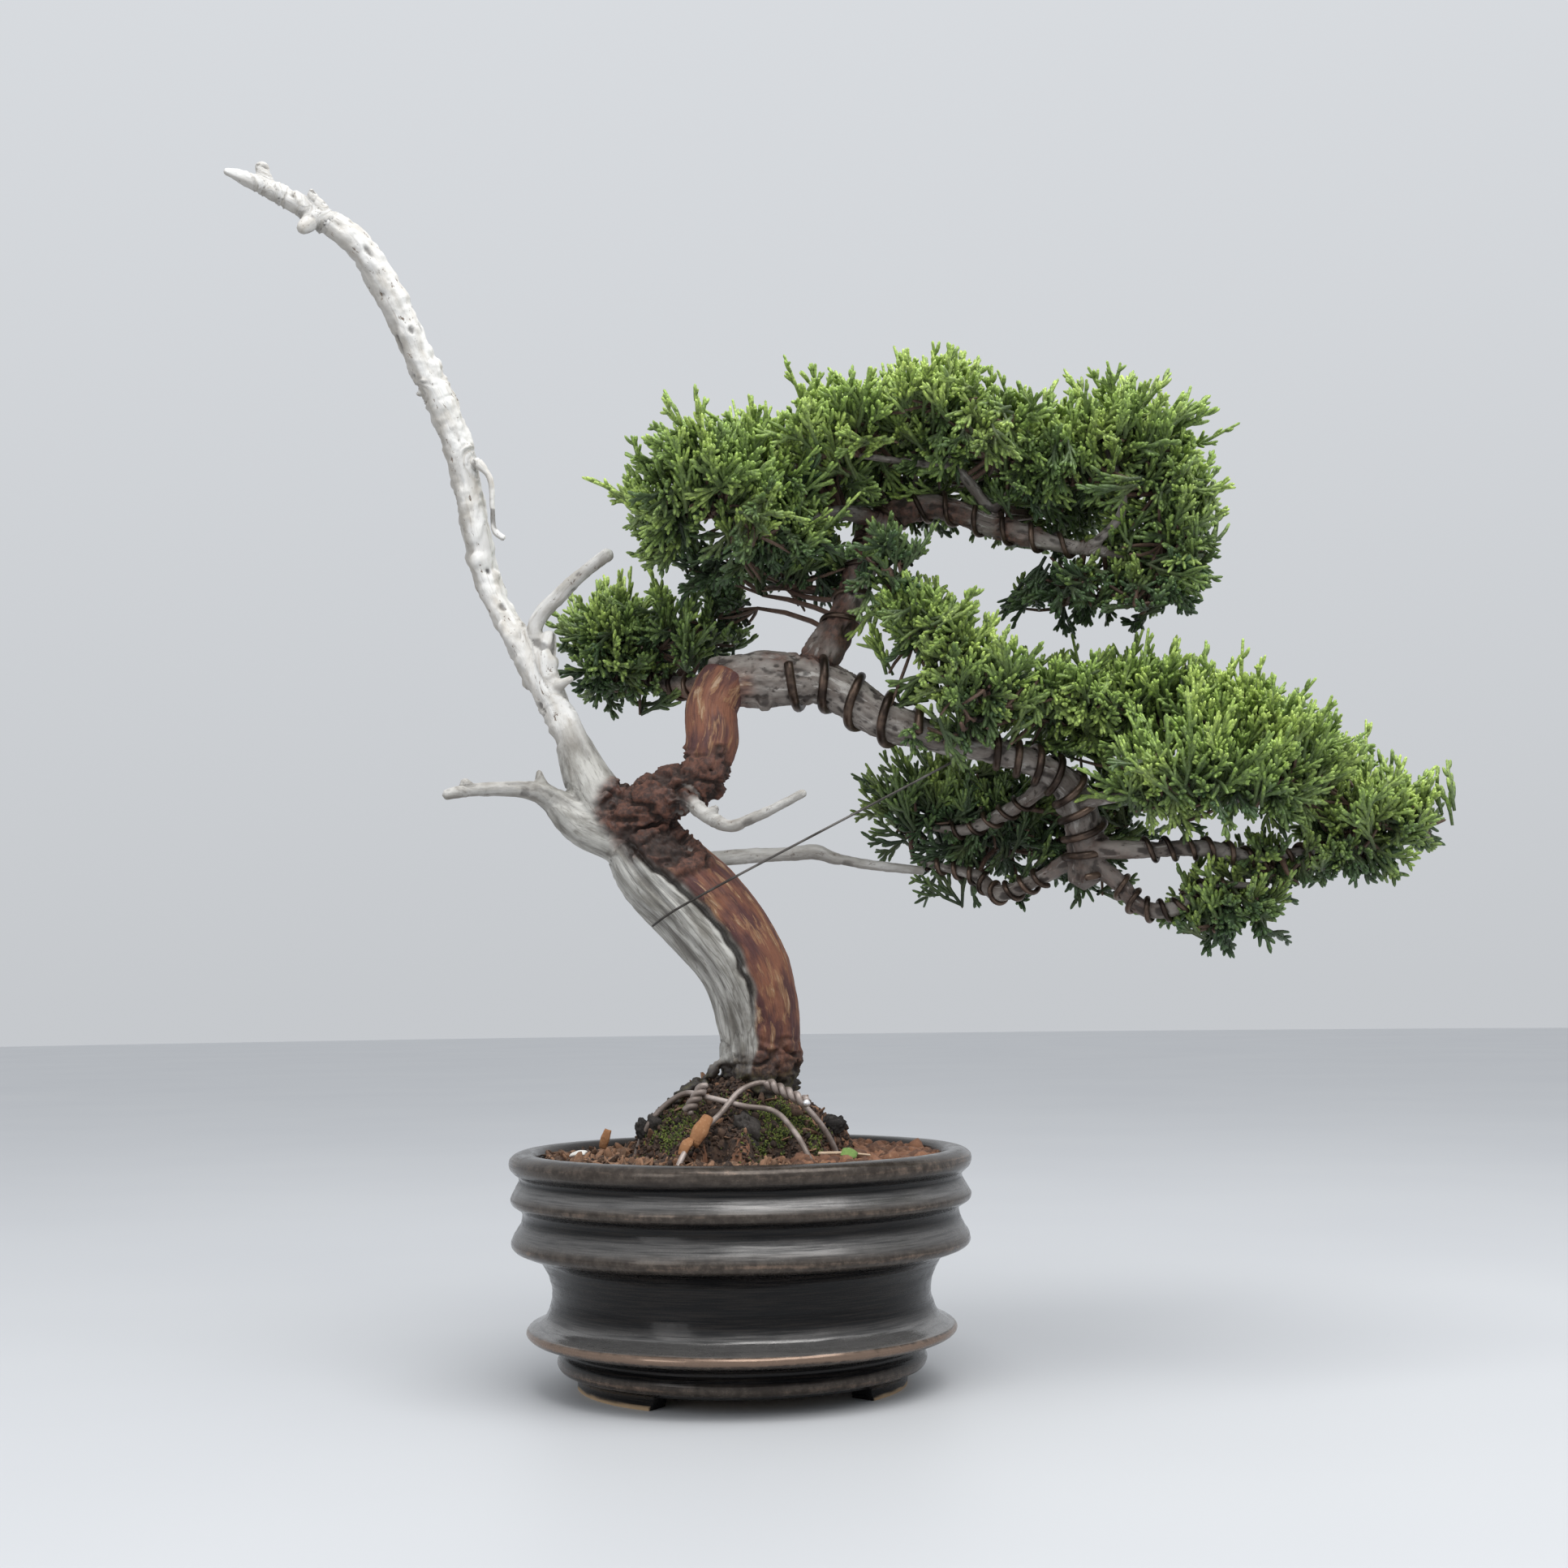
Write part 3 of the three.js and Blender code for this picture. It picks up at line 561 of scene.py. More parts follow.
def wood_material():
    """Bleached deadwood, grey shari, red-brown live bark, rough dark bark and grey bark, by mask."""
    s = Shader("bonsai_wood", Roughness=0.75)
    fibres = s.noise((2.4, 2.4, 0.2), 4, source="grain")
    strands = s.noise((0.9, 0.9, 0.09), 5, 0.6, 0.4, source="grain")
    patches = s.noise((0.20, 0.20, 0.07), 4, source="grain")
    blotches = s.noise((0.42, 0.42, 0.11), 5, 0.6, 0.6, source="grain")
    specks = s.noise((0.55, 0.55, 0.3), 3, 0.7, source="grain")
    flow = s.noise((0.17, 0.17, 0.016), 3, 0.5, 0.3, source="grain")
    rings = s.maths("PINGPONG", s.maths("MULTIPLY", flow, 9.0), 0.5)
    names = ("white", "shari", "live", "rough", "hollow", "under", "earth", "lined")
    masks = {name: s.attribute(name) for name in names}

    colour = grey_bark_colour(s, patches, blotches, specks)
    bleached = bleached_colour(s, patches, specks, strands, masks["under"])
    colour = s.mix(masks["white"], colour, bleached)
    colour = s.mix(masks["shari"], colour, shari_colour(s, patches, strands, rings, masks["lined"]))
    colour = s.mix(masks["live"], colour, live_bark_colour(s, patches, blotches, fibres))
    crumbs = s.noise(0.5, 5, 0.7)
    flaky = s.mix(s.spread(crumbs, 0.38, 0.62), (0.040, 0.019, 0.014), (0.125, 0.052, 0.033))
    colour = s.mix(masks["rough"], colour, flaky)
    soil = s.mix(s.spread(crumbs, 0.45, 0.65), (0.016, 0.011, 0.008), (0.055, 0.048, 0.020))
    colour = s.mix(masks["earth"], colour, soil)
    # Painted shade darkens the hollows, cracks and grooves.
    colour = s.mix(s.spread(masks["hollow"], 0.0, 1.0, 0.0, 0.8), colour, (0.022, 0.015, 0.012))
    s.set("Base Color", colour)
    dry = s.spread(strands, 0.3, 0.7, 0.62, 0.9)
    s.set("Roughness", s.maths("SUBTRACT", dry, s.maths("MULTIPLY", masks["shari"], 0.22)))
    fine_bump = s.bump(fibres, 0.3, 0.5)
    lined = s.bump(s.maths("MULTIPLY", rings, masks["lined"]), 0.6, 0.5, fine_bump)
    s.set("Normal", s.bump(specks, 0.5, 0.6, lined))
    return s.material


def grey_bark_colour(s, patches, blotches, specks):
    """Grey flaking bark with pale blotches and dark specks."""
    colour = s.mix(s.spread(patches, 0.35, 0.65), (0.125, 0.103, 0.088), (0.27, 0.245, 0.22))
    colour = s.mix(s.spread(blotches, 0.56, 0.66, 0.0, 0.8), colour, (0.43, 0.41, 0.38))
    return s.mix(s.spread(specks, 0.44, 0.30, 0.0, 0.85), colour, (0.032, 0.022, 0.018))


def bleached_colour(s, patches, specks, strands, under):
    """Nearly white deadwood, greyer on its underside with painted shade, with brown cracks and specks."""
    colour = s.mix(s.spread(patches, 0.3, 0.62), (0.52, 0.49, 0.44), (0.76, 0.75, 0.725))
    # Painted shade on the side turned away from the light.
    colour = s.mix(s.spread(under, 0.1, 0.9, 0.0, 0.6), colour, (0.26, 0.235, 0.20))
    colour = s.mix(s.spread(strands, 0.42, 0.30, 0.0, 0.5), colour, (0.36, 0.31, 0.26))
    return s.mix(s.spread(specks, 0.39, 0.30), colour, (0.17, 0.13, 0.10))


def shari_colour(s, patches, strands, rings, lined):
    """Grey deadwood with dark strands, and fine year lines where it is lined."""
    colour = s.mix(s.spread(patches, 0.30, 0.66), (0.20, 0.188, 0.162), (0.50, 0.49, 0.455))
    colour = s.mix(s.spread(strands, 0.5, 0.3, 0.0, 0.6), colour, (0.12, 0.108, 0.09))
    line = s.maths("MULTIPLY", s.spread(rings, 0.0, 0.13, 0.6, 0.0), lined)
    return s.mix(line, colour, (0.10, 0.09, 0.075))


def live_bark_colour(s, patches, blotches, fibres):
    """Red-brown live bark with tan patches where it flaked."""
    colour = s.mix(s.spread(patches, 0.38, 0.6), (0.075, 0.027, 0.025), (0.195, 0.076, 0.042))
    colour = s.mix(s.spread(blotches, 0.53, 0.59, 0.0, 0.75), colour, (0.28, 0.150, 0.075))
    colour = s.mix(s.spread(blotches, 0.62, 0.67, 0.0, 0.7), colour, (0.40, 0.285, 0.19))
    return s.mix(s.spread(fibres, 0.5, 0.3, 0.0, 0.55), colour, (0.042, 0.019, 0.015))


def glaze_material():
    """Dark iron glaze: black in the hollows, brown and lustrous where it ran thin over the ribs, with a
    painted grey sky reflection on the slopes that face up.
    """
    s = Shader("iron_glaze", Roughness=0.2, Coat_Weight=0.08, Coat_Roughness=0.05, Specular_IOR_Level=0.16)
    brushed = s.noise((0.022, 0.022, 0.5), 5, 0.65)
    streaks = s.noise((0.06, 0.06, 1.8), 4, 0.6)
    mottle = s.noise(0.28, 5, 0.7)
    crest = s.attribute("crest")
    level = s.maths("ADD", crest, s.maths("MULTIPLY", brushed, 0.5))
    worn = s.spread(level, 0.78, 1.15)
    dark = s.mix(s.spread(streaks, 0.4, 0.65), (0.0045, 0.0045, 0.005), (0.016, 0.0135, 0.012))
    thin = s.mix(s.spread(mottle, 0.35, 0.65), (0.045, 0.036, 0.030), (0.085, 0.070, 0.058))
    colour = s.mix(worn, dark, thin)
    edge = s.spread(s.maths("ADD", level, s.maths("MULTIPLY", mottle, 0.3)), 1.28, 1.45)
    colour = s.mix(edge, colour, (0.20, 0.14, 0.105))
    # Painted reflection: the grey of the bright sky on the slopes that face up.
    lustre = s.maths("MULTIPLY", s.attribute("lustre"), s.spread(streaks, 0.25, 0.6, 0.25, 0.75))
    colour = s.mix(lustre, colour, (0.33, 0.32, 0.31))
    clay = s.attribute("clay")
    colour = s.mix(clay, colour, s.mix(mottle, (0.30, 0.20, 0.12), (0.50, 0.37, 0.23)))
    s.set("Base Color", colour)
    metal = s.maths("MAXIMUM", s.spread(level, 0.8, 1.3, 0.0, 0.55), lustre)
    s.set("Metallic", s.maths("MULTIPLY", metal, s.spread(clay, 0, 1, 1.0, 0.0)))
    gloss = s.spread(s.maths("ADD", streaks, mottle), 0.75, 1.25, 0.12, 0.32)
    s.set("Roughness", s.maths("MAXIMUM", gloss, s.maths("MULTIPLY", clay, 0.85)))
    pits = s.spread(s.cells(0.16), 0.03, 0.07)
    lines = s.bump(streaks, 0.10, 0.5)
    s.set("Normal", s.bump(s.maths("MULTIPLY", mottle, pits), 0.10, 0.4, lines))
    return s.material


def foliage_material():
    """Scale-leaf shoots: dull green cords with fresh yellow-green tips, on brown twigs, lighter where painted
    sun falls and darker in painted shade.
    """
    s = Shader("juniper_foliage", Roughness=0.5, Sheen_Weight=0.08)
    tip, sun, woody = s.attribute("tip"), s.attribute("sun"), s.attribute("woody")
    tint = s.noise(0.05, 2)
    scales = s.cells(1.05)
    # Painted light: lit and shaded copies of the green, chosen by the sun value.
    old = s.mix(sun, (0.017, 0.034, 0.014), (0.125, 0.190, 0.050))
    old = s.mix(s.spread(tint, 0.45, 0.7, 0.0, 0.5), old, (0.125, 0.140, 0.040))
    young = s.mix(sun, (0.060, 0.125, 0.034), (0.38, 0.56, 0.105))
    old = s.mix(s.spread(tip, 0.0, 0.45, 0.45, 0.0), old, (0.020, 0.030, 0.012))
    bright = s.maths("POWER", tip, 2.7)
    colour = s.mix(bright, old, young)
    # Painted sun on the fresh tips.
    fresh_and_sunlit = s.maths("MULTIPLY", s.spread(tint, 0.4, 0.65), s.maths("MULTIPLY", sun, bright))
    colour = s.mix(fresh_and_sunlit, colour, (0.56, 0.72, 0.16))
    colour = s.mix(s.spread(scales, 0.35, 0.7, 0.0, 0.4), colour, (0.022, 0.045, 0.012))
    bark = s.mix(s.noise(0.6, 3), (0.045, 0.022, 0.016), (0.19, 0.11, 0.075))
    colour = s.mix(woody, colour, bark)
    s.set("Base Color", colour)
    s.set("Roughness", s.spread(tip, 0, 1, 0.60, 0.42))
    s.set("Normal", s.bump(scales, 0.35, 0.6))
    return s.material


def wire_material(name, dark, light, roughness, metallic=0.75):
    """Soft wire, dull along its length, with a lighter rubbed band."""
    s = Shader(name, Metallic=metallic)
    rubbed = s.noise((0.09, 0.09, 0.12), 4, 0.6)
    scratches = s.noise(1.1, 4, 0.7)
    s.set("Base Color", s.mix(s.spread(rubbed, 0.38, 0.66), dark, light))
    s.set("Roughness", s.spread(scratches, 0.3, 0.7, roughness - 0.1, roughness + 0.12))
    s.set("Normal", s.bump(scratches, 0.05, 0.5))
    return s.material


def crumb_material(name, dark, light, pale, roughness=0.9):
    """Small loose pieces whose colour differs from piece to piece."""
    s = Shader(name, Roughness=roughness)
    tint = s.attribute("tint")
    grit = s.noise(0.9, 5, 0.7)
    colour = s.mix(s.spread(tint, 0, 1), dark, light)
    colour = s.mix(s.spread(grit, 0.5, 0.75, 0.0, 0.6), colour, pale)
    colour = s.mix(s.spread(grit, 0.45, 0.25, 0.0, 0.7), colour, tuple(c * 0.3 for c in dark))
    s.set("Base Color", colour)
    s.set("Normal", s.bump(grit, 0.5, 0.7))
    return s.material


def floor_material():
    """A matt pale grey floor."""
    s = Shader("studio_floor", Roughness=0.5)
    tone = s.noise(0.004, 2)
    s.set("Base Color", s.mix(tone, (0.52, 0.53, 0.55), (0.58, 0.59, 0.60)))
    return s.material


# ------------------------------------------------------------------ wood


def fused(courses, voxel):
    """One skin over several overlapping limbs, softened where they join."""
    verts, faces = merged([tube(c, LIMB_SIDES) for c in courses])
    holder = bpy.data.objects.new("limbs", new_mesh("limbs", verts, faces))
    bpy.context.scene.collection.objects.link(holder)
    remesh = holder.modifiers.new("fuse", "REMESH")
    remesh.mode = "VOXEL"
    remesh.voxel_size = voxel * MM
    soften = holder.modifiers.new("soften", "SMOOTH")
    soften.iterations = 4
    evaluated = holder.evaluated_get(bpy.context.evaluated_depsgraph_get())
    mesh = bpy.data.meshes.new_from_object(evaluated)
    bpy.data.objects.remove(holder)
    mesh.polygons.foreach_set("use_smooth", np.full(len(mesh.polygons), True))
    return mesh


def limb_places(places, courses):
    """Each place straightened along the limbs it lies near, its share of each, and its gaps to them."""
    names = list(courses)
    owners = []
    for number, name in enumerate(names):
        owners += [(number, i, radius) for i, radius in enumerate(courses[name].radius)]
    tree = tree_of(np.vstack([courses[name].centre for name in names]))
    nearest = np.zeros((len(places), len(names)), int)
    stand_off = np.full((len(places), len(names)), 30.0)
    for row, place in enumerate(places):
        for _, index, distance in tree.find_n(place, 12):
            number, i, radius = owners[index]
            if distance - radius < stand_off[row, number]:
                stand_off[row, number] = distance - radius
                nearest[row, number] = i
    gaps = np.sort(stand_off, axis=1)
    weight = np.exp(-np.maximum(stand_off - gaps[:, :1], 0) / LIMB_BLEND)
    weight /= weight.sum(1, keepdims=True)

    grain = np.zeros((len(places), 3))
    trunk = courses[names[0]]
    for number, name in enumerate(names):
        course, i = courses[name], nearest[:, number]
        off = places - course.centre[i]
        root = np.argmin(np.linalg.norm(trunk.centre - course.centre[0], axis=1))
        along = trunk.distance[root] + course.distance[i] + (off * course.along[i]).sum(1)
        across, up = (off * course.across[i]).sum(1), (off * course.up[i]).sum(1)
        grain += weight[:, number:number + 1] * np.stack([across, up, along], axis=1)
    return grain, weight, gaps[:, 1] - gaps[:, 0]


def front_angle(places, course):
    """Angle round a limb in degrees, from its front towards +X, and the share of its length."""
    tree = tree_of(course.centre)
    nearest = np.array([tree.find(p)[1] for p in places])
    along = course.along[nearest]
    off = places - course.centre[nearest]
    front = unit(np.array([0, -1, 0]) - along * along[:, 1:2] * -1)
    right = np.cross(along, front)
    angle = np.degrees(np.arctan2((off * right).sum(1), (off * front).sum(1)))
    return angle, course.distance[nearest] / course.distance[-1]


def near_line(places, ends, reach, blur):
    """1 within reach of a straight line between two ends, falling to 0 over blur."""
    a, b = np.array(ends, float)
    t = np.clip(((places - a) @ (b - a)) / (b - a).dot(b - a), 0, 1)
    distance = np.linalg.norm(places - a - t[:, None] * (b - a), axis=1)
    return 1 - smooth_step(reach, reach + blur, distance)


def near_lines(places, *lines):
    """The same for the nearest of several lines, each with its ends, reach and blur."""
    return np.max([near_line(places, *line) for line in lines], axis=0)


def limb_paleness(name):
    """How pale a limb is: the last entry whose key starts its name, or 0."""
    matches = [pale for start, pale in LIMB_PALENESS.items() if name.startswith(start)]
    return matches[-1] if matches else 0.0


def live_vein(places, course):
    """Where the strip of live bark runs up the trunk, the angle from its edge and the share of length."""
    angle, share = front_angle(places, course)
    edge = np.interp(share, LIVE_EDGE_SHARE, LIVE_EDGE_ANGLE) + 5 * noise(places / 6, 3)
    from_edge = (angle - edge + 180) % 360 - 180
    inside = np.minimum((angle - edge) % 360, (edge + LIVE_WIDTH - angle) % 360)
    return np.where((angle - edge) % 360 < LIVE_WIDTH, smooth_step(0, 7, inside), 0), from_edge, share


def trunk_masks(places, courses, weight):
    """Where the wood is bleached, grey, live, rough, grooved or under soil, from 0 to 1."""
    names = list(courses)
    vein, from_edge, share = live_vein(places, courses["trunk"])
    on_trunk = weight[:, names.index("trunk")]
    live = weight[:, names.index("upper_trunk")] + on_trunk * vein * (share < 0.97)
    live = np.maximum(live, near_line(places, [[-22, -12, 177], [-13, -3, 172]], 5, 2))
    paleness = np.array([limb_paleness(name) for name in names])
    fork = near_line(places, [[-38, -2, 178], [-50, 0, 194]], 9, 16)
    jin_base = near_line(places, [[-26, -12, 192], [-17.5, -16.5, 187]], 3.2, 2.5)
    white = np.clip(weight @ paleness - 0.9 * fork - jin_base, 0, 1 - np.clip(live, 0, 1))
    shari = np.clip(1 - live - white, 0, 1)
    groove_edge = from_edge + 3 + 2.5 * noise(places / 3, 27)
    groove = on_trunk * np.exp(-((groove_edge / 3.6) ** 2)) * smooth_step(0.25, 0.45, share)

    wild = noise(places / 5, 9) * 3
    elbow = near_lines(places, ([[-35, -6, 186], [-13, -9, 192]], 10, 4),
                       ([[-33, -10, 181], [-18, -14, 170]], 6.5 + wild, 5),
                       ([[-13, -9, 190], [-11, -9, 197]], 7.5 + wild, 4))
    rough = np.clip(elbow * (1 - white * 1.2), 0, 1)
    earth = 1 - smooth_step(98, 106, places[:, 2] + wild)
    foot = (1 - smooth_step(102, 112, places[:, 2] + wild)) * live
    rough = np.maximum(rough, np.maximum(foot, earth * 0.8))
    return {"white": white, "shari": shari, "live": live, "rough": rough, "earth": earth, "foot": foot,
            "groove": groove, "lined": shari * on_trunk * (1 - fork),
            "swollen": 0.7 * smooth_step(0.3, 0.7, share) * on_trunk}


def trunk_relief(places, grain, clear, masks):
    """How far each kind of wood stands out from the plain limbs, and how much painted shade darkens its
    hollows.
    """
    white, shari, live, rough, groove = (masks[k] for k in ("white", "shari", "live", "rough", "groove"))
    fibre = layered(grain * [0.75, 0.75, 0.07], 4, 5)
    ridge = 1 - np.abs(noise(grain * [0.32, 0.32, 0.03], 8)) * 2
    swell = noise(grain * [0.13, 0.13, 0.05], 2)
    wrinkle = layered(grain * [0.24, 0.24, 0.26], 3, 17)
    plates = smooth_step(0.0, 0.32, np.abs(layered(places / [7.5, 7.5, 4.5], 4, 14)))
    pits = smooth_step(0.58, 0.8, noise(grain * [0.33, 0.33, 0.2], 21))
    knots = smooth_step(0.4, 0.8, noise(grain * [0.2, 0.2, 0.15], 31))
    size = np.clip(np.linalg.norm(grain[:, :2], axis=1) / 5, 0.15, 1)
    bleached = 0.3 * fibre + 0.25 * ridge + 0.9 * swell + 1.0 * wrinkle - 1.1 * pits + 1.4 * knots
    height = shari * size * (0.35 * fibre + 0.6 * ridge + 1.0 * swell - 0.5)
    height += white * size * bleached
    height *= clear
    height += live * (0.16 * fibre + 0.5 * swell + 0.25 * wrinkle + 0.5 + masks["swollen"])
    height += rough * (2.6 * plates - 1.1 + 0.9 * layered(places / 3.2, 4, 3)) - 3.0 * groove
    height += np.maximum(masks["earth"], masks["foot"]) * (0.9 * layered(places / 1.8, 2, 33) - 0.4)

    # Painted shade in the cracks, pits and wrinkles of the wood.
    hollow = shari * smooth_step(0.15, -0.6, fibre + ridge - 0.4) * 0.45 + white * pits * 0.7
    hollow += white * smooth_step(0.0, -0.8, wrinkle + 0.5 * swell) * 0.2
    # Painted shadow under the elbow's overhanging bark, and painted shade in the groove along the live bark's
    # edge.
    painted_overhang_shadow = near_line(places, [[-37, -16, 175], [-20, -18, 172]], 3, 5)
    hollow += rough * ((1 - plates) * 0.9 + 0.5 * painted_overhang_shadow) + groove * 1.6
    return height, np.clip(hollow, 0, 1)


def trunk_wood(material):
    """The leaning trunk, half deadwood and half live, with its dead leader and jins."""
    courses = {name: Course(points, 0.8) for name, points in DEADWOOD.items()}
    mesh = fused(courses.values(), 0.56)
    places, normals = mesh_places(mesh), mesh_normals(mesh)
    grain, weight, clearance = limb_places(places, courses)
    masks = trunk_masks(places, courses, weight)
    height, hollow = trunk_relief(places, grain, smooth_step(0.0, 2.0, clearance) * 0.6 + 0.4, masks)
    move_places(mesh, places + normals * np.clip(height, -2.8, 3.0)[:, None])
    # Painted shade: darker where the skin turns away from the light above, to the right and in front.
    under = smooth_step(0.25, -0.8, normals @ unit(np.array([0.55, -0.2, 0.8])))
    shown = {name: masks[name] for name in ("white", "shari", "live", "rough", "earth", "lined")}
    set_attributes(mesh, grain=grain, hollow=hollow, under=under)
    set_attributes(mesh, **{name: np.clip(mask, 0, 1) for name, mask in shown.items()})
    replaced = ["trunk", "surface_root", "dead_leader", "jin_left", "jin_fork", "upper_trunk",
                "jin_right_upper", "jin_right_lower"]
    add_piece("trunk_and_deadwood", mesh, material, replaced)


def branch_wood(material):
    """The live branches, with grey flaking bark, knobs, and cracks darkened with painted shade."""
    courses = {name: Course(points, 0.8) for name, points in BRANCHES.items()}
    mesh = fused(courses.values(), 0.5)
    places, normals = mesh_places(mesh), mesh_normals(mesh)
    grain, _, _ = limb_places(places, courses)
    size = np.clip(np.linalg.norm(grain[:, :2], axis=1) / 6, 0.12, 1)
    flakes = 1 - np.abs(layered(grain * [0.30, 0.30, 0.2], 3, 4)) * 2.8
    knobs = smooth_step(0.45, 0.85, noise(grain * [0.17, 0.17, 0.13], 12))
    swell = noise(grain * [0.1, 0.1, 0.07], 6)
    crown = near_lines(places, ([[26, 3, 234], [46, 9, 276]], 7, 4), ([[48, 9, 284], [96, 0, 280]], 6, 4))
    height = size * (0.6 * np.clip(flakes, -1, 1) + 1.9 * knobs + 0.8 * swell) + 0.5 * crown * flakes * size
    move_places(mesh, places + normals * np.clip(height, -1.5, 2.6)[:, None])

    zero = np.zeros(len(places))
    start = 1 - smooth_step(-4, 8, places[:, 0] + 4 * noise(places / 4, 2))
    live = start * smooth_step(234, 226, places[:, 2])
    flaked = smooth_step(-0.2, 0.6, layered(places / 5, 2, 3))
    joint = near_line(places, [[0, 0, 232], [22, 0, 235]], 7, 6) * flaked
    joint = np.maximum(joint, 0.5 * near_line(places, [[100, 8, 176], [128, -3, 160]], 9, 5))
    # Painted shade at the joint where the main branch turns down.
    shaded = near_line(places, [[112, -2, 186], [116, 3, 158]], 7, 9)
    patchy_crown = crown * smooth_step(-0.6, 0.2, noise(places / 7, 8))
    rough = np.clip(np.maximum(0.8 * joint, patchy_crown), 0, 1) * 0.85
    # Painted shade in the cracks between flakes and at the joint.
    hollow = np.maximum(smooth_step(0.25, -0.5, flakes), 0.4 * shaded)
    set_attributes(mesh, grain=grain, white=zero, shari=zero, live=live, rough=rough, hollow=hollow,
                   under=zero, earth=zero, lined=zero)
    replaced = [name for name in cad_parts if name.endswith("_branch")]
    add_piece("branches", mesh, material, replaced)


# ------------------------------------------------------------------ wires


def wire_piece(name, courses, radius, material, replaced, sides=12):
    """Round wire along each course, as one piece."""
    verts, faces = merged([tube(c, sides, radius) for c in courses])
    add_piece(name, new_mesh(name, verts, faces), material, replaced)


def wound_course(limb, start, end, turns, radius, phase):
    """A wire's course round a limb, with windings that stand a little unevenly."""
    course = Course((DEADWOOD | BRANCHES)[limb], 0.8)
    steps = int(turns * 28)
    share = np.linspace(start, end, steps + 1)
    uneven = 0.14 * np.sin(share * 61 + phase)
    angle = phase + 2 * np.pi * turns * (share - start) / (end - start) + uneven
    spokes = course.at(course.across, share) * np.cos(angle)[:, None]
    spokes = unit(spokes + course.at(course.up, share) * np.sin(angle)[:, None])
    reach = course.at(course.radius, share)[:, 0] + radius * 0.75 + 0.2
    line = course.at(course.centre, share) + spokes * reach[:, None]
    return Course(np.column_stack([line, np.full(len(line), radius)]), 1.2)


def twisted_pair(start, end, turns, radius):
    """Two strands twisted round the line between two places."""
    start, end = np.array(start, float), np.array(end, float)
    axis = unit(end - start)
    side = unit(np.cross(axis, [0.2, 0.1, 1]))
    other = np.cross(axis, side)
    t = np.linspace(0, 1, int(turns * 16) + 1)[:, None]
    strands = []
    for phase in (0, np.pi):
        angle = phase + 2 * np.pi * turns * t
        line = start + (end - start) * t + radius * (side * np.cos(angle) + other * np.sin(angle))
        strands.append(Course(np.column_stack([line, np.full(len(line), radius)]), 0.8))
    return strands


def make_wires():
    """The training wires round the branches, and the two tie-down wires with their twisted ends."""
    brown = wire_material("training_wire", (0.030, 0.020, 0.015), (0.14, 0.095, 0.070), 0.38)
    for name, winding in WINDINGS.items():
        wire_piece(name, [wound_course(*winding)], winding[4], brown, [name])
    dull = wire_material("tie_wire", (0.17, 0.135, 0.115), (0.40, 0.34, 0.31), 0.52, 0.35)
    for name, route in TIE_ROUTES.items():
        line = Course([[*p, TIE_RADIUS] for p in route], 1.5)
        wire_piece(name, [line], TIE_RADIUS, dull, [name])
    pairs = [strand for twist in TIE_TWISTS for strand in twisted_pair(*twist, TWIST_RADIUS)]
    wire_piece("tie_wire_twists", pairs, TWIST_RADIUS, dull, [])
    bright = wire_material("cut_wire_end", (0.75, 0.75, 0.76), (0.86, 0.86, 0.87), 0.3, 0.6)
    wire_piece("tie_wire_cut_end", [Course(CUT_END, 0.5)], CUT_END[0][3], bright, [])


def guy_wire():
    """The straight steel wire that holds the main branch down to the trunk."""
    steel = wire_material("guy_steel", (0.05, 0.045, 0.04), (0.14, 0.13, 0.12), 0.4)
    data = bpy.data.curves.new("guy_wire_line", "CURVE")
    data.dimensions = "3D"
    data.bevel_depth = GUY_RADIUS * MM
    data.bevel_resolution = 3
    data.use_fill_caps = True
    line = Course([[*p, GUY_RADIUS] for p in GUY_ROUTE], 6).centre
    route = data.splines.new("POLY")
    route.points.add(len(line) - 1)
    for point, place in zip(route.points, (line + AXIS) * MM):
        point.co = (*place, 1)
    wire = add_piece("guy_wire_line", data, steel, ["guy_wire"])


# ------------------------------------------------------------------ foliage


def shoots_mesh(name, shoots, sides=5, rings=4):
    """Tubes along quadratic curves, one for each row of start, control, end, radii and colours."""
    count = len(shoots["start"])
    t = np.linspace(0, 1, rings)[None, :, None]
    a, b, c = (shoots[k][:, None, :] for k in ("start", "control", "end"))
    line = (1 - t) ** 2 * a + 2 * t * (1 - t) * b + t**2 * c
    along = unit(2 * (1 - t) * (b - a) + 2 * t * (c - b))
    across = unit(np.cross(along, shoots["side"][:, None, :]))
    up = np.cross(along, across)
    radius = shoots["thick"][:, None] * np.array([0.85, 1.05, 1.0, 0.72])[None, :rings]
    angle = even_angles(sides)[:, None]
    spokes = across[:, :, None] * np.cos(angle) + up[:, :, None] * np.sin(angle)
    ringed = line[:, :, None] + spokes * radius[:, :, None, None]
    tips = line[:, -1] + along[:, -1] * shoots["thick"][:, None] * 0.9
    per = rings * sides + 1
    verts = np.concatenate([ringed.reshape(count, -1, 3), tips[:, None]], axis=1).reshape(-1, 3)
    start = (np.arange(count) * per)[:, None, None]
    quads = (grid_faces(rings, sides)[None] + start).reshape(-1, 4)
    fan = fan_faces(per - 1, (rings - 1) * sides, sides)
    mesh = new_mesh(name, verts, [quads, (fan[None] + start).reshape(-1, 3)])
    ramp = np.concatenate([np.repeat(np.linspace(0, 1, rings), sides), [1.0]])
    tip = shoots["tip0"][:, None] + (shoots["tip1"] - shoots["tip0"])[:, None] * ramp
    sun, woody = np.repeat(shoots["sun"], per), np.repeat(shoots["woody"], per)
    set_attributes(mesh, tip=tip.ravel(), sun=sun, woody=woody)
    return mesh


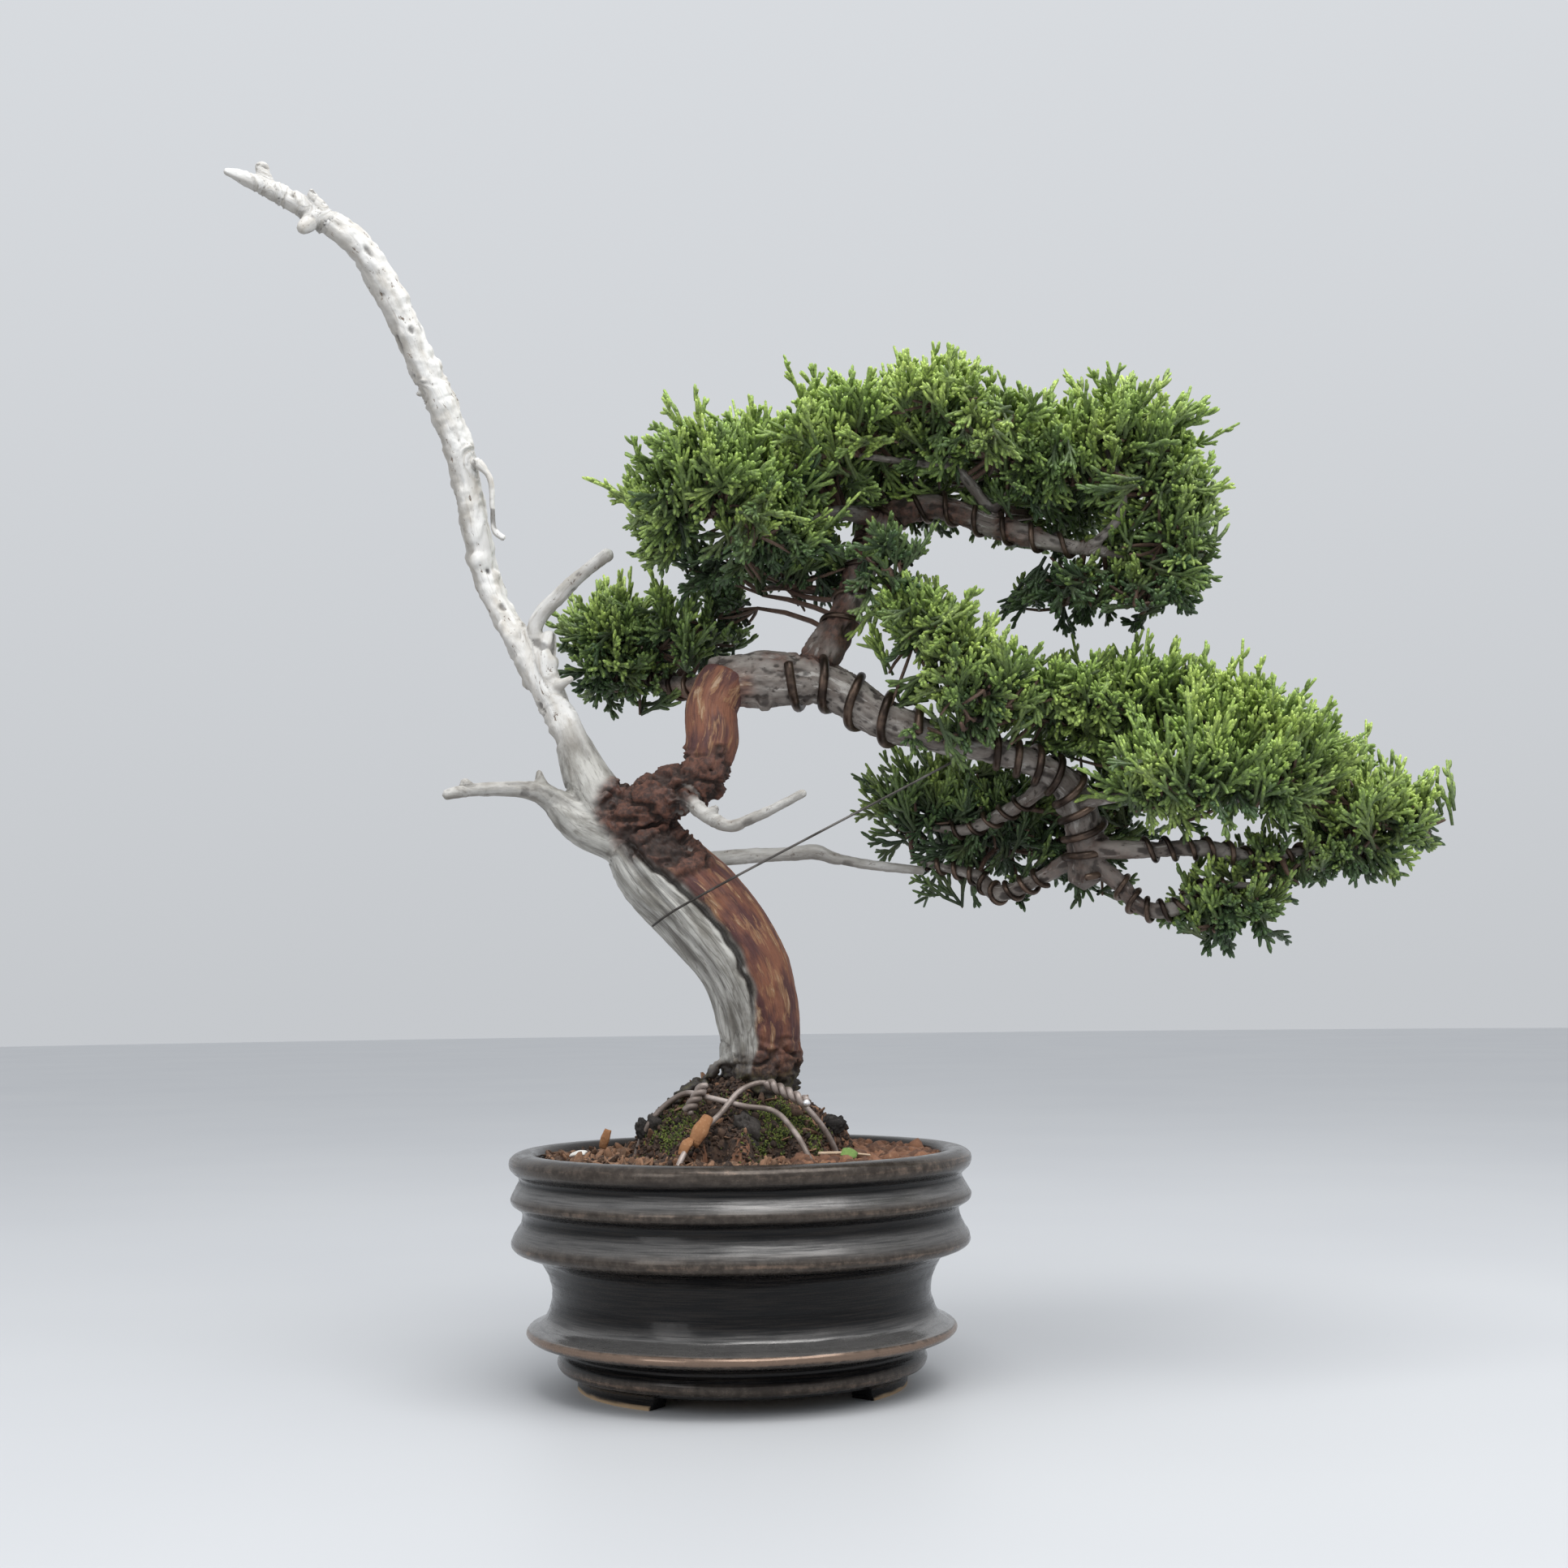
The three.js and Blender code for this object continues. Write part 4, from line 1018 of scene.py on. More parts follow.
def mass_field(places, lumps):
    """Depth in the lumps blended into one mass, 1 at its surface, and the slope of that depth."""
    off = (places[:, None] - lumps[None, :, :3]) / lumps[None, :, 3:6]
    depth = np.maximum(np.linalg.norm(off, axis=2), 1e-6)
    lowest = depth.min(axis=1)
    share = np.exp(-MASS_BLEND * (depth - lowest[:, None]))
    total = share.sum(axis=1)
    slope = (share[:, :, None] * off / lumps[None, :, 3:6] / depth[:, :, None]).sum(axis=1) / total[:, None]
    return lowest - np.log(total) / MASS_BLEND, slope


def shoot_rows(start, control, end, side, thick, tip0, tip1, sun, woody):
    """Shoots by their curves, with each other value given once or for every shoot."""
    values = {"thick": thick, "tip0": tip0, "tip1": tip1, "sun": sun, "woody": woody}
    full = {key: np.broadcast_to(np.asarray(value, float), (len(start),)) for key, value in values.items()}
    return {"start": start, "control": control, "end": end, "side": side, **full}


def sprays(rng, base, direction, length, sun):
    """Forking cords: a stem, alternate side shoots at narrow angles, and their own short side shoots."""
    n = len(base)
    normal = unit(np.cross(direction, unit(rng.normal(size=(n, 3)))))
    wide = np.cross(normal, direction)
    bend = rng.normal(size=(n, 3)) * 0.16 + [0, 0, 0.14]
    end = base + (direction + bend) * length[:, None]
    control = base + (direction - bend * 0.4) * length[:, None] * 0.5
    thick = rng.uniform(0.60, 0.76, n)
    rows = [shoot_rows(base, control, end, normal, thick, 0.0, 0.97, sun, 0.0)]
    for k, t in enumerate(SIDE_SHOOTS):
        root = (1 - t) ** 2 * base + 2 * t * (1 - t) * control + t**2 * end
        ahead = unit((1 - t) * (control - base) + t * (end - control))
        hand = 1 if k % 2 else -1
        roll = rng.normal(0, 0.65, (n, 1))
        spread = np.radians(rng.uniform(24, 44, n))[:, None]
        aside = hand * wide * np.cos(roll) + normal * np.sin(roll)
        out = unit(ahead * np.cos(spread) + aside * np.sin(spread))
        reach = np.maximum(length * (0.54 - 0.40 * t) * rng.uniform(0.7, 1.3, n), 2.6)
        finish = root + unit(out + ahead * 0.3 + [0, 0, 0.08]) * reach[:, None]
        middle = root + unit(out + aside * 0.15) * reach[:, None] * 0.5
        tips = np.clip(rng.normal(0.95, 0.06, n), 0.6, 1)
        rows.append(shoot_rows(root, middle, finish, normal, thick, 0.1 + 0.35 * t, tips, sun, 0.0))
        for part, side in ((0.35, -hand), (0.6, hand)):
            chosen = (rng.random(n) < 0.62) & (reach > 4.2)
            sub_root = root + (finish - root) * part
            sub_out = unit(out * 0.9 + side * wide * 0.55 + normal * rng.normal(0, 0.35, (n, 1)))
            sub_reach = reach * (0.75 - part * 0.5) * rng.uniform(0.75, 1.2, n)
            sub_end = sub_root + sub_out * sub_reach[:, None]
            sub_end, sub_root = sub_end[chosen], sub_root[chosen]
            rows.append(shoot_rows(sub_root, (sub_root + sub_end) / 2, sub_end, normal[chosen],
                                   thick[chosen] * 0.95, 0.35, tips[chosen], sun[chosen], 0.0))
    return rows


def fan_places(rng, centre, radii, fullness, others, seed):
    """A lump's fans: places on the leafy mass, the way out of it there, and which are inside it."""
    a, b, c = radii
    area = 4 * np.pi * (((a * b) ** 1.6 + (a * c) ** 1.6 + (b * c) ** 1.6) / 3) ** (1 / 1.6)
    count = int(area / AREA_PER_FAN * fullness)
    inner = rng.random(count) < INNER_SHARE
    skin = centre + unit(rng.normal(size=(count, 3))) * radii
    keep = mass_field(skin, others)[0] > np.where(inner, 0.45, 0.72)
    skin, inner = skin[keep], inner[keep]
    level = np.where(inner, 0.64, 0.94) * (1 + 0.26 * noise(skin / 8, seed))
    for _ in range(3):
        field, slope = mass_field(skin, others)
        skin -= slope * ((field - level) / (slope**2).sum(1))[:, None]
    surface = unit(mass_field(skin, others)[1])
    keep = (surface[:, 2] > -0.35) | (rng.random(len(skin)) < 0.7)
    keep &= mass_field(skin, OPENINGS)[0] > 1
    return skin[keep], surface[keep], inner[keep]


def fan_sprays(rng, hub, growth, surface, depth, light):
    """Sprays from each hub, out along its growth and a little up, with painted light that is lighter the more
    they face up.
    """
    each = SPRAYS_PER_FAN
    count = len(hub) * each
    base = np.repeat(hub, each, axis=0) + rng.normal(size=(count, 3)) * 1.3
    lift = np.where(surface[:, 2:] > -0.2, 0.4, -0.15) * [0, 0, 1]
    direction = unit(np.repeat(growth + lift, each, axis=0) + rng.normal(size=(count, 3)) * 0.42)
    length = np.repeat(depth, each) * rng.uniform(0.7, 1.3, count)
    height = direction[:, 2] * 0.5 + np.repeat(surface[:, 2], each) * 0.5
    sun = np.clip(np.repeat(light, each) + 0.42 * height + rng.normal(0, 0.15, count), 0, 1)
    return sprays(rng, base, direction, length, sun)


def twigs(rng, centre, radii, hub, wood):
    """Brown twigs from the nearest branch to some joints inside a lump, and from those to its hubs."""
    count = max(4, len(hub) // 7)
    outward = unit(rng.normal(size=(count, 3)))
    joints = centre + outward * radii * rng.uniform(0.2, 0.5, (count, 1)) - [0, 0, 2]
    roots = np.array([wood.find(joint)[0] for joint in joints])
    bend = (joints + roots) / 2 + rng.normal(size=(count, 3)) * 2.5
    side = unit(rng.normal(size=(count, 3)))
    rows = [shoot_rows(roots, bend, joints, side, 0.95, 0, 0, 0.2, 1.0)]
    nearest = np.argmin(np.linalg.norm(hub[:, None] - joints[None], axis=2), axis=1)
    middle = (hub + joints[nearest]) / 2 + rng.normal(size=hub.shape) * 1.4
    side = unit(rng.normal(size=hub.shape))
    rows.append(shoot_rows(joints[nearest], middle, hub, side, 0.6, 0, 0.1, 0.3, 0.9))
    return rows


def foliage_pad(name, lumps, others, wood, material, seed):
    """One pad: fans of sprays that spring from twig ends just under the skin of the leafy mass."""
    rng = np.random.default_rng(seed)
    rows = []
    for lump in lumps:
        centre, radii = np.array(lump[:3], float), np.array(lump[3:6], float)
        fullness, light = lump[6:8]
        skin, surface, inner = fan_places(rng, centre, radii, fullness, others, seed)
        fans = len(skin)
        depth = np.clip(1.1 * radii.min(), 11, 16) * rng.uniform(0.85, 1.15, fans)
        from_wood = unit(skin - np.array([wood.find(p)[0] for p in skin]))
        growth = unit(surface * 0.8 + from_wood * 0.6 + rng.normal(size=(fans, 3)) * 0.38)
        hub = skin - growth * depth[:, None] - [0, 0, 1.0]
        # Fans inside the mass get painted shade.
        rows += fan_sprays(rng, hub, growth, surface, depth, light - np.where(inner, 0.3, 0))
        rows += twigs(rng, centre, radii, hub, wood)
    shoots = {key: np.concatenate([r[key] for r in rows]) for key in rows[0]}
    mesh = shoots_mesh("foliage_" + name, shoots)
    add_piece("leaves_" + name, mesh, material, ["foliage_" + name])


def make_foliage():
    """Every foliage pad, each drawn from a seed of its own."""
    material = foliage_material()
    wood = tree_of(np.vstack([Course(points, 2.0).centre for points in BRANCHES.values()]))
    others = np.array([lump for pad in PADS.values() for lump in pad])
    for seed, (name, lumps) in enumerate(PADS.items(), start=1):
        foliage_pad(name, lumps, others, wood, material, seed)


# ------------------------------------------------------------------ pot


def lathe(profile, columns, wobble):
    """A ring-shaped solid of revolution, its radius moved by wobble(angle, height)."""
    profile = np.array(profile, float)
    angle = even_angles(columns)
    r = profile[:, None, 0] + wobble(angle[None], profile[:, None, 1])
    z = np.broadcast_to(profile[:, None, 1], r.shape)
    verts = np.stack([r * np.sin(angle), -r * np.cos(angle), z], axis=2).reshape(-1, 3)
    last = (len(profile) - 1) * columns
    j = np.arange(columns)
    k = (j + 1) % columns
    close = np.stack([last + j, last + k, k, j], axis=1)
    return verts, np.vstack([grid_faces(len(profile), columns), close])


def foot_wedge(middle, width):
    """A block that cuts one gap between two feet, with slanting ends."""
    bottom, top = -2.0, FOOT_HIGH - 0.4
    inside, outside, outermost = 30, 70, 80
    polar = []
    for z, slant in ((bottom, 3.5), (top, 0.0)):
        for radius, side in ((inside, -1), (inside, 1), (outside, 1), (outside, -1)):
            polar.append((radius, middle + side * (width / 2 + slant), z))
    polar += [(radius, middle, z) for z in (bottom, top) for radius in (inside, outermost)]
    corners = [(r * math.sin(math.radians(a)), -r * math.cos(math.radians(a)), z) for r, a, z in polar]
    hull = bpy.data.meshes.new("wedge")
    bm = bmesh.new()
    for v in (np.array(corners) + AXIS) * MM:
        bm.verts.new(v)
    bmesh.ops.convex_hull(bm, input=bm.verts)
    bm.to_mesh(hull)
    bm.free()
    return hull


def hand_turned(angle, z):
    """How far the pot's wall wanders from true, round it and up it."""
    ring = np.stack([np.cos(angle) * 2 + 0 * z, np.sin(angle) * 2 + 0 * z, z * 0.5 + 0 * angle], axis=2)
    slow = noise(ring.reshape(-1, 3), 5).reshape(ring.shape[:2])
    fast = noise(ring.reshape(-1, 3) * [0.6, 0.6, 3.2], 8).reshape(ring.shape[:2])
    return 0.16 * slow + 0.07 * fast


def glaze_masks(outline):
    """For each place on the pot's outline: how far it stands out as a crest, and how much painted sky
    reflection it gets where it faces up.
    """
    r, z = outline.T
    number = np.arange(len(outline))
    crest = np.array([(r[i] - r[np.abs(number - i) < 14].mean()) / 2.2 for i in number])
    crest[z > 70] = np.maximum(crest[z > 70], 0.35)
    facing_up = -np.gradient(r) / np.maximum(np.hypot(np.gradient(r), np.gradient(z)), 1e-6)
    outside = (z < 71) & (number < np.argmax(z))
    return crest, smooth_step(0.2, 0.85, facing_up) * outside * (z > 19)


def cut_gap(pot, gap):
    """Cut one gap between two feet out of the pot."""
    cutter = bpy.data.objects.new("wedge", foot_wedge(*gap))
    bpy.context.scene.collection.objects.link(cutter)
    cut = pot.modifiers.new("foot_gap", "BOOLEAN")
    cut.operation = "DIFFERENCE"
    cut.object = cutter
    cut.solver = "EXACT"
    evaluated = pot.evaluated_get(bpy.context.evaluated_depsgraph_get())
    carved = bpy.data.meshes.new_from_object(evaluated)
    pot.modifiers.clear()
    pot.data = carved
    bpy.data.objects.remove(cutter)


def make_pot():
    """The turned pot, with masks for its worn crests, bare clay and the painted sky reflection on its upward
    slopes, and its three feet.
    """
    outline = spline(POT_PROFILE, 0.55)
    inner = [[DRAIN, 12], [DRAIN, FOOT_HIGH], [FOOT_IN, FOOT_HIGH], [FOOT_IN, 0]]
    verts, faces = lathe(np.vstack([outline, inner]), POT_COLUMNS, hand_turned)
    mesh = new_mesh("pot_body", verts, [faces[:, ::-1]])
    crest, lustre = (np.concatenate([values, np.zeros(len(inner))]) for values in glaze_masks(outline))
    radius = np.linalg.norm(verts[:, :2], axis=1)
    clay = smooth_step(1.3, 0.6, verts[:, 2] + 0.3 * noise(verts / 5, 4))
    clay = np.maximum(clay, (radius < FOOT_IN + 0.5) * (verts[:, 2] < FOOT_HIGH + 0.5))
    set_attributes(mesh, crest=np.repeat(np.clip(crest, -1, 1.2) * 0.5 + 0.5, POT_COLUMNS), clay=clay,
                   lustre=np.repeat(lustre, POT_COLUMNS))
    pot = add_piece("pot_body", mesh, glaze_material(), ["pot"])
    for gap in FOOT_GAPS:
        cut_gap(pot, gap)
    pot.data.polygons.foreach_set("use_smooth", np.full(len(pot.data.polygons), True))
    pot.data.set_sharp_from_angle(angle=math.radians(50))


# ------------------------------------------------------------------ soil, moss and litter


def mound_height(x, y):
    """Height of the soil and of the mound that the trunk stands on, and where it is the mound."""
    d = np.hypot(x - MOUND_MIDDLE[0], (y - MOUND_MIDDLE[1]) * 1.05)
    places = np.stack([x, y, 0 * x], axis=-1).reshape(-1, 3)
    rugged = layered(places / 7, 3, 6).reshape(x.shape)
    lumpy = layered(places / 4, 3, 26).reshape(x.shape)
    mound = np.interp(d + 5.5 * rugged, MOUND_REACH, MOUND_HEIGHT) + 2.0 * lumpy
    soil = SOIL_TOP - 1.2 + 1.3 * layered(places / 12, 2, 16).reshape(x.shape)
    return np.maximum(mound, soil), mound > soil


def ground_piece(name, radius_in, radius_out, bottom, material, replaced, seed):
    """A rugged sheet of ground, closed underneath by a flat bottom that is a little narrower."""
    rings = np.linspace(radius_in, radius_out, GROUND_RINGS)[:, None]
    angle = even_angles(GROUND_COLUMNS)
    x = rings * np.sin(angle) + MOUND_MIDDLE[0] * (1 - rings / POT_MOUTH)
    y = -rings * np.cos(angle)
    z, _ = mound_height(x, y)
    verts = np.stack([x, y, z], axis=2).reshape(-1, 3)
    verts[:, 2] += 0.9 * layered(verts / 2.1, 4, seed) + 0.5 * layered(verts / 0.9, 2, seed + 9)
    verts[:, :2] += 0.6 * np.stack([noise(verts / 1.7, seed + 1), noise(verts / 1.7, seed + 2)], axis=1)
    below = verts[-GROUND_COLUMNS:].copy()
    below[:, :2] *= 0.97
    below[:, 2] = bottom
    hubs = np.array([[0, 0, bottom], [MOUND_MIDDLE[0], 0, verts[:GROUND_COLUMNS, 2].mean()]])
    n, end = len(verts), len(verts) + GROUND_COLUMNS
    verts = np.vstack([verts, below, hubs])
    fans = [fan_faces(end, n, GROUND_COLUMNS, turned=True), fan_faces(end + 1, 0, GROUND_COLUMNS)]
    faces = grid_faces(GROUND_RINGS + 1, GROUND_COLUMNS)
    mesh = new_mesh(name, verts, [faces[:, ::-1], np.vstack(fans)[:, ::-1]])
    set_attributes(mesh, tint=np.clip(0.5 + layered(verts / 1.3, 3, seed + 5), 0, 1))
    add_piece(name, mesh, material, replaced)


def crumb_shapes(count, stretch, detail=2):
    """Several angular crumbs: a subdivided icosahedron with its corners pushed about."""
    shapes = []
    for k in range(count):
        bm = bmesh.new()
        bmesh.ops.create_icosphere(bm, subdivisions=detail, radius=1)
        v = np.array([p.co for p in bm.verts])
        f = np.array([[p.index for p in face.verts] for face in bm.faces])
        bm.free()
        rugged = 0.34 * noise(v * 1.3 + 10 * k, k) + 0.2 * layered(v * 3.5 + 5 * k, detail, k + 50)
        shapes.append((v * (1 + rugged[:, None]) * stretch, f))
    return shapes


def random_turns(rng, count, tilt=1.0):
    """Rotation matrices, tilted off the flat by up to a share of a full turn."""
    q = rng.normal(size=(count, 4)) * [1, tilt, tilt, 1]
    w, x, y, z = unit(q).T
    return np.stack([
        1 - 2 * (y * y + z * z), 2 * (x * y - z * w), 2 * (x * z + y * w),
        2 * (x * y + z * w), 1 - 2 * (x * x + z * z), 2 * (y * z - x * w),
        2 * (x * z - y * w), 2 * (y * z + x * w), 1 - 2 * (x * x + y * y)], axis=1).reshape(-1, 3, 3)


def scatter(name, rng, places, sizes, shapes, material, tilt=1.0):
    """One piece made of a turned copy of some shape at each place."""
    rotations = random_turns(rng, len(places), tilt)
    which = rng.integers(len(shapes), size=len(places))
    parts = []
    for place, size, rotation, k in zip(places, sizes, rotations, which):
        v, f = shapes[k]
        parts.append((v @ rotation.T * size + place, [f]))
    mesh = new_mesh(name, *merged(parts))
    tint = np.repeat(rng.random(len(places)), [len(shapes[k][0]) for k in which])
    set_attributes(mesh, tint=tint)
    add_piece(name, mesh, material)


def on_ground(rng, count, wanted):
    """Random places on the ground inside the pot where wanted(x, y, on the mound) is true."""
    angle = rng.uniform(0, 2 * np.pi, count * 6)
    radius = LITTER_REACH * np.sqrt(rng.random(count * 6))
    x, y = radius * np.sin(angle), -radius * np.cos(angle)
    z, mound = mound_height(x, y)
    chosen = wanted(x, y, mound)
    return np.stack([x, y, z], axis=1)[chosen][:count]


def towards_right(x, y):
    """A ragged measure that grows from the bark litter on the left to the bare granules on the right."""
    drift = layered(np.stack([x, y, 0 * x], axis=1) / 14, 2, 44) * 14
    return x + 0.3 * y + drift


def make_ground():
    """Soil and mound, the loose granules, crumbs and bark on them, and the moss."""
    clay = crumb_material("akadama_granules", (0.085, 0.04, 0.024), (0.235, 0.11, 0.06), (0.36, 0.22, 0.13))
    humus = crumb_material("root_ball_soil", (0.016, 0.01, 0.008), (0.075, 0.043, 0.028), (0.19, 0.125, 0.08))
    litter = crumb_material("bark_litter", (0.05, 0.028, 0.018), (0.26, 0.14, 0.08), (0.42, 0.28, 0.18))
    green = crumb_material("moss", (0.022, 0.034, 0.009), (0.150, 0.185, 0.034), (0.26, 0.29, 0.07))
    ground_piece("soil_surface", 33, 65.2, 64, clay, ["akadama_soil"], 3)
    ground_piece("root_mound", 1, 37, 66, humus, ["root_ball"], 7)
    rng = np.random.default_rng(77)
    round_crumbs = crumb_shapes(8, [1, 1, 0.8])
    flat_crumbs = crumb_shapes(6, [1.9, 0.75, 0.28])
    small_crumbs = crumb_shapes(8, [1.3, 0.8, 0.7], 1)

    # Name, count, where it lies, how far it sinks in or stands up, its sizes, shapes, looks and tilt.
    layers = [
        ("akadama_granules", 2100, lambda x, y, mound: ~mound & (towards_right(x, y) > 2), (-0.3, 1.3),
         lambda n: rng.gamma(3.2, 0.34, n) + 0.35, round_crumbs, clay, "akadama", 1.0),
        ("bark_litter", 1000, lambda x, y, mound: ~mound & (towards_right(x, y) < 6), (-0.2, 1.5),
         lambda n: rng.uniform(0.7, 2.1, n), flat_crumbs, litter, "bark_chip", 0.35),
        ("humus_crumbs", 2400, lambda x, y, mound: mound | ((x < 8) & (np.hypot(x, y) < 60)), (-0.4, 0.9),
         lambda n: rng.gamma(3, 0.19, n) + 0.25, round_crumbs, humus, "root_ball_soil", 1.0),
        ("fine_crumbs", 8000, lambda x, y, mound: mound & (y < 20), (-0.1, 0.7),
         lambda n: rng.uniform(0.25, 0.75, n), small_crumbs, humus, "root_ball_soil", 1.0),
        ("mound_litter", 420, lambda x, y, mound: mound, (0, 1.0),
         lambda n: rng.uniform(0.5, 1.5, n), flat_crumbs, litter, "bark_chip", 0.6),
    ]
    for name, count, wanted, lift, sizes, shapes, material, slot, tilt in layers:
        places = on_ground(rng, count, wanted)
        places[:, 2] += rng.uniform(*lift, len(places))
        scatter(name, rng, places, sizes(len(places)), shapes, material, tilt)
    make_moss(rng, green)


def make_moss(rng, material):
    """Short green leaves in tufts over the mound."""
    for name, (middle, reach, count) in MOSS_PATCHES.items():
        spot = rng.normal(size=(count, 2)) * 0.55 * reach + middle
        clump = layered(np.column_stack([spot, spot[:, 0] * 0]) / 4, 2, 9)
        spot = spot[clump > -0.12]
        z, _ = mound_height(spot[:, 0], spot[:, 1])
        base = np.column_stack([spot, z])
        out = unit(rng.normal(size=base.shape) + [0, -0.3, 1.1])
        end = base + out * rng.uniform(0.7, 1.6, (len(base), 1))
        sun = rng.random(len(base))
        side = unit(rng.normal(size=base.shape))
        mesh = shoots_mesh(name + "_tufts", shoot_rows(base, (base + end) / 2, end, side, 0.29, 0, 1, sun, 0))
        set_attributes(mesh, tint=np.repeat(sun, len(mesh.vertices) // len(base)))
        replaced = [name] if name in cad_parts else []
        add_piece(name + "_tufts", mesh, material, replaced)


def bent_plate(corner_a, corner_b, width, thick, curl, facing):
    """A thin curled flake between two places."""
    a, b = np.array(corner_a, float), np.array(corner_b, float)
    along = unit(b - a)
    side = unit(np.cross(along, facing))
    face = np.cross(side, along)
    rows, columns = 13, 7
    t = np.linspace(0, 1, rows)[:, None]
    w = np.linspace(-1, 1, columns)[None]
    ragged = 0.14 * noise(np.column_stack([t * 4, t, t]) + width, 6)[:, None]
    taper = width / 2 * (0.8 + 0.3 * np.sin(np.pi * t) + ragged)
    sheet = a + (b - a) * t[..., None] + side * (w * taper)[..., None]
    sheet = sheet + face * (curl * (np.sin(np.pi * t) - 0.5 * w**2))[..., None]
    top, bottom = sheet + face * thick / 2, sheet - face * thick / 2
    verts = np.vstack([top.reshape(-1, 3), bottom.reshape(-1, 3)])
    n = rows * columns
    grid = grid_faces(rows, columns, closed=False)
    number = np.arange(n).reshape(rows, columns)
    rim = np.concatenate([number[:, 0], number[-1, 1:], number[-2::-1, -1], number[0, -2:0:-1]])
    after = np.roll(rim, -1)
    wall = np.stack([rim, after, after + n, rim + n], axis=1)
    return verts, [np.vstack([grid, grid[:, ::-1] + n, wall])]


def litter_piece(name, shape, material, tint=0.5, replaced=()):
    """A loose piece of one tint, from its verts and faces."""
    verts, faces = shape
    mesh = new_mesh(name, verts, faces)
    set_attributes(mesh, tint=np.full(len(verts), tint))
    add_piece(name, mesh, material, replaced)


def make_chips():
    """The pieces of bark that lie on the mound."""
    bark = crumb_material("bark_chips", (0.17, 0.070, 0.030), (0.36, 0.175, 0.075), (0.50, 0.30, 0.16))
    plates = merged([bent_plate(*chip) for chip in BARK_CHIPS])
    litter_piece("bark_chips", plates, bark, 0.6, ["bark_chip"])


def loose_bits():
    """The charred old roots in the mound, and a stick, a fallen leaf and a pale chip on the soil."""
    rng = np.random.default_rng(5)
    charred = crumb_material("charred_root", (0.012, 0.010, 0.009), (0.040, 0.034, 0.030), (0.09, 0.08, 0.07))
    places, sizes = CHARRED_ROOTS[:, :3], CHARRED_ROOTS[:, 3]
    shapes = crumb_shapes(6, [0.8, 0.75, 1.3], 5)
    scatter("charred_roots", rng, places, sizes, shapes, charred, 0.2)

    pale = crumb_material("pale_wood", (0.46, 0.33, 0.22), (0.62, 0.48, 0.34), (0.75, 0.66, 0.55))
    bone = crumb_material("bone_chip", (0.6, 0.58, 0.54), (0.7, 0.68, 0.64), (0.8, 0.8, 0.78))
    leaf = crumb_material("green_leaf", (0.10, 0.17, 0.045), (0.20, 0.32, 0.08), (0.28, 0.38, 0.12))
    litter_piece("fallen_stick", tube(Course(STICK, 1.0), 7), pale)
    litter_piece("pale_chip", bent_plate(*PALE_CHIP), bone)
    litter_piece("fallen_leaf", bent_plate(*FALLEN_LEAF), leaf)


def drainage():
    """New materials for the drainage mesh and its staple, whose CAD shape stays."""
    materials = {
        "drainage_mesh": wire_material("drainage_plastic", (0.012, 0.012, 0.012), (0.03, 0.03, 0.03), 0.6),
        "mesh_staple": wire_material("staple_wire", (0.2, 0.17, 0.15), (0.4, 0.36, 0.32), 0.45),
    }
    for name, material in materials.items():
        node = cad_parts[name]
        node.data.materials.clear()
        node.data.materials.append(material)


# ------------------------------------------------------------------ studio


def make_camera():
    """The camera in front of the pot, pitched up and rolled a little."""
    data = bpy.data.cameras.new("camera")
    data.lens = CAMERA_LENS
    data.sensor_width = 36
    pitch, roll = math.radians(CAMERA_PITCH), math.radians(CAMERA_ROLL)
    forward = Vector((0, math.cos(pitch), math.sin(pitch)))
    level_right, level_up = Vector((1, 0, 0)), Vector((0, -math.sin(pitch), math.cos(pitch)))
    right = math.cos(roll) * level_right - math.sin(roll) * level_up
    up = math.sin(roll) * level_right + math.cos(roll) * level_up
    camera = bpy.data.objects.new("camera", data)
    place = Vector((np.array(CAMERA_PLACE) + AXIS) * MM)
    facing = Matrix((right, up, -forward)).transposed().to_4x4()
    camera.matrix_world = Matrix.Translation(place) @ facing
    bpy.context.scene.collection.objects.link(camera)
    bpy.context.scene.camera = camera


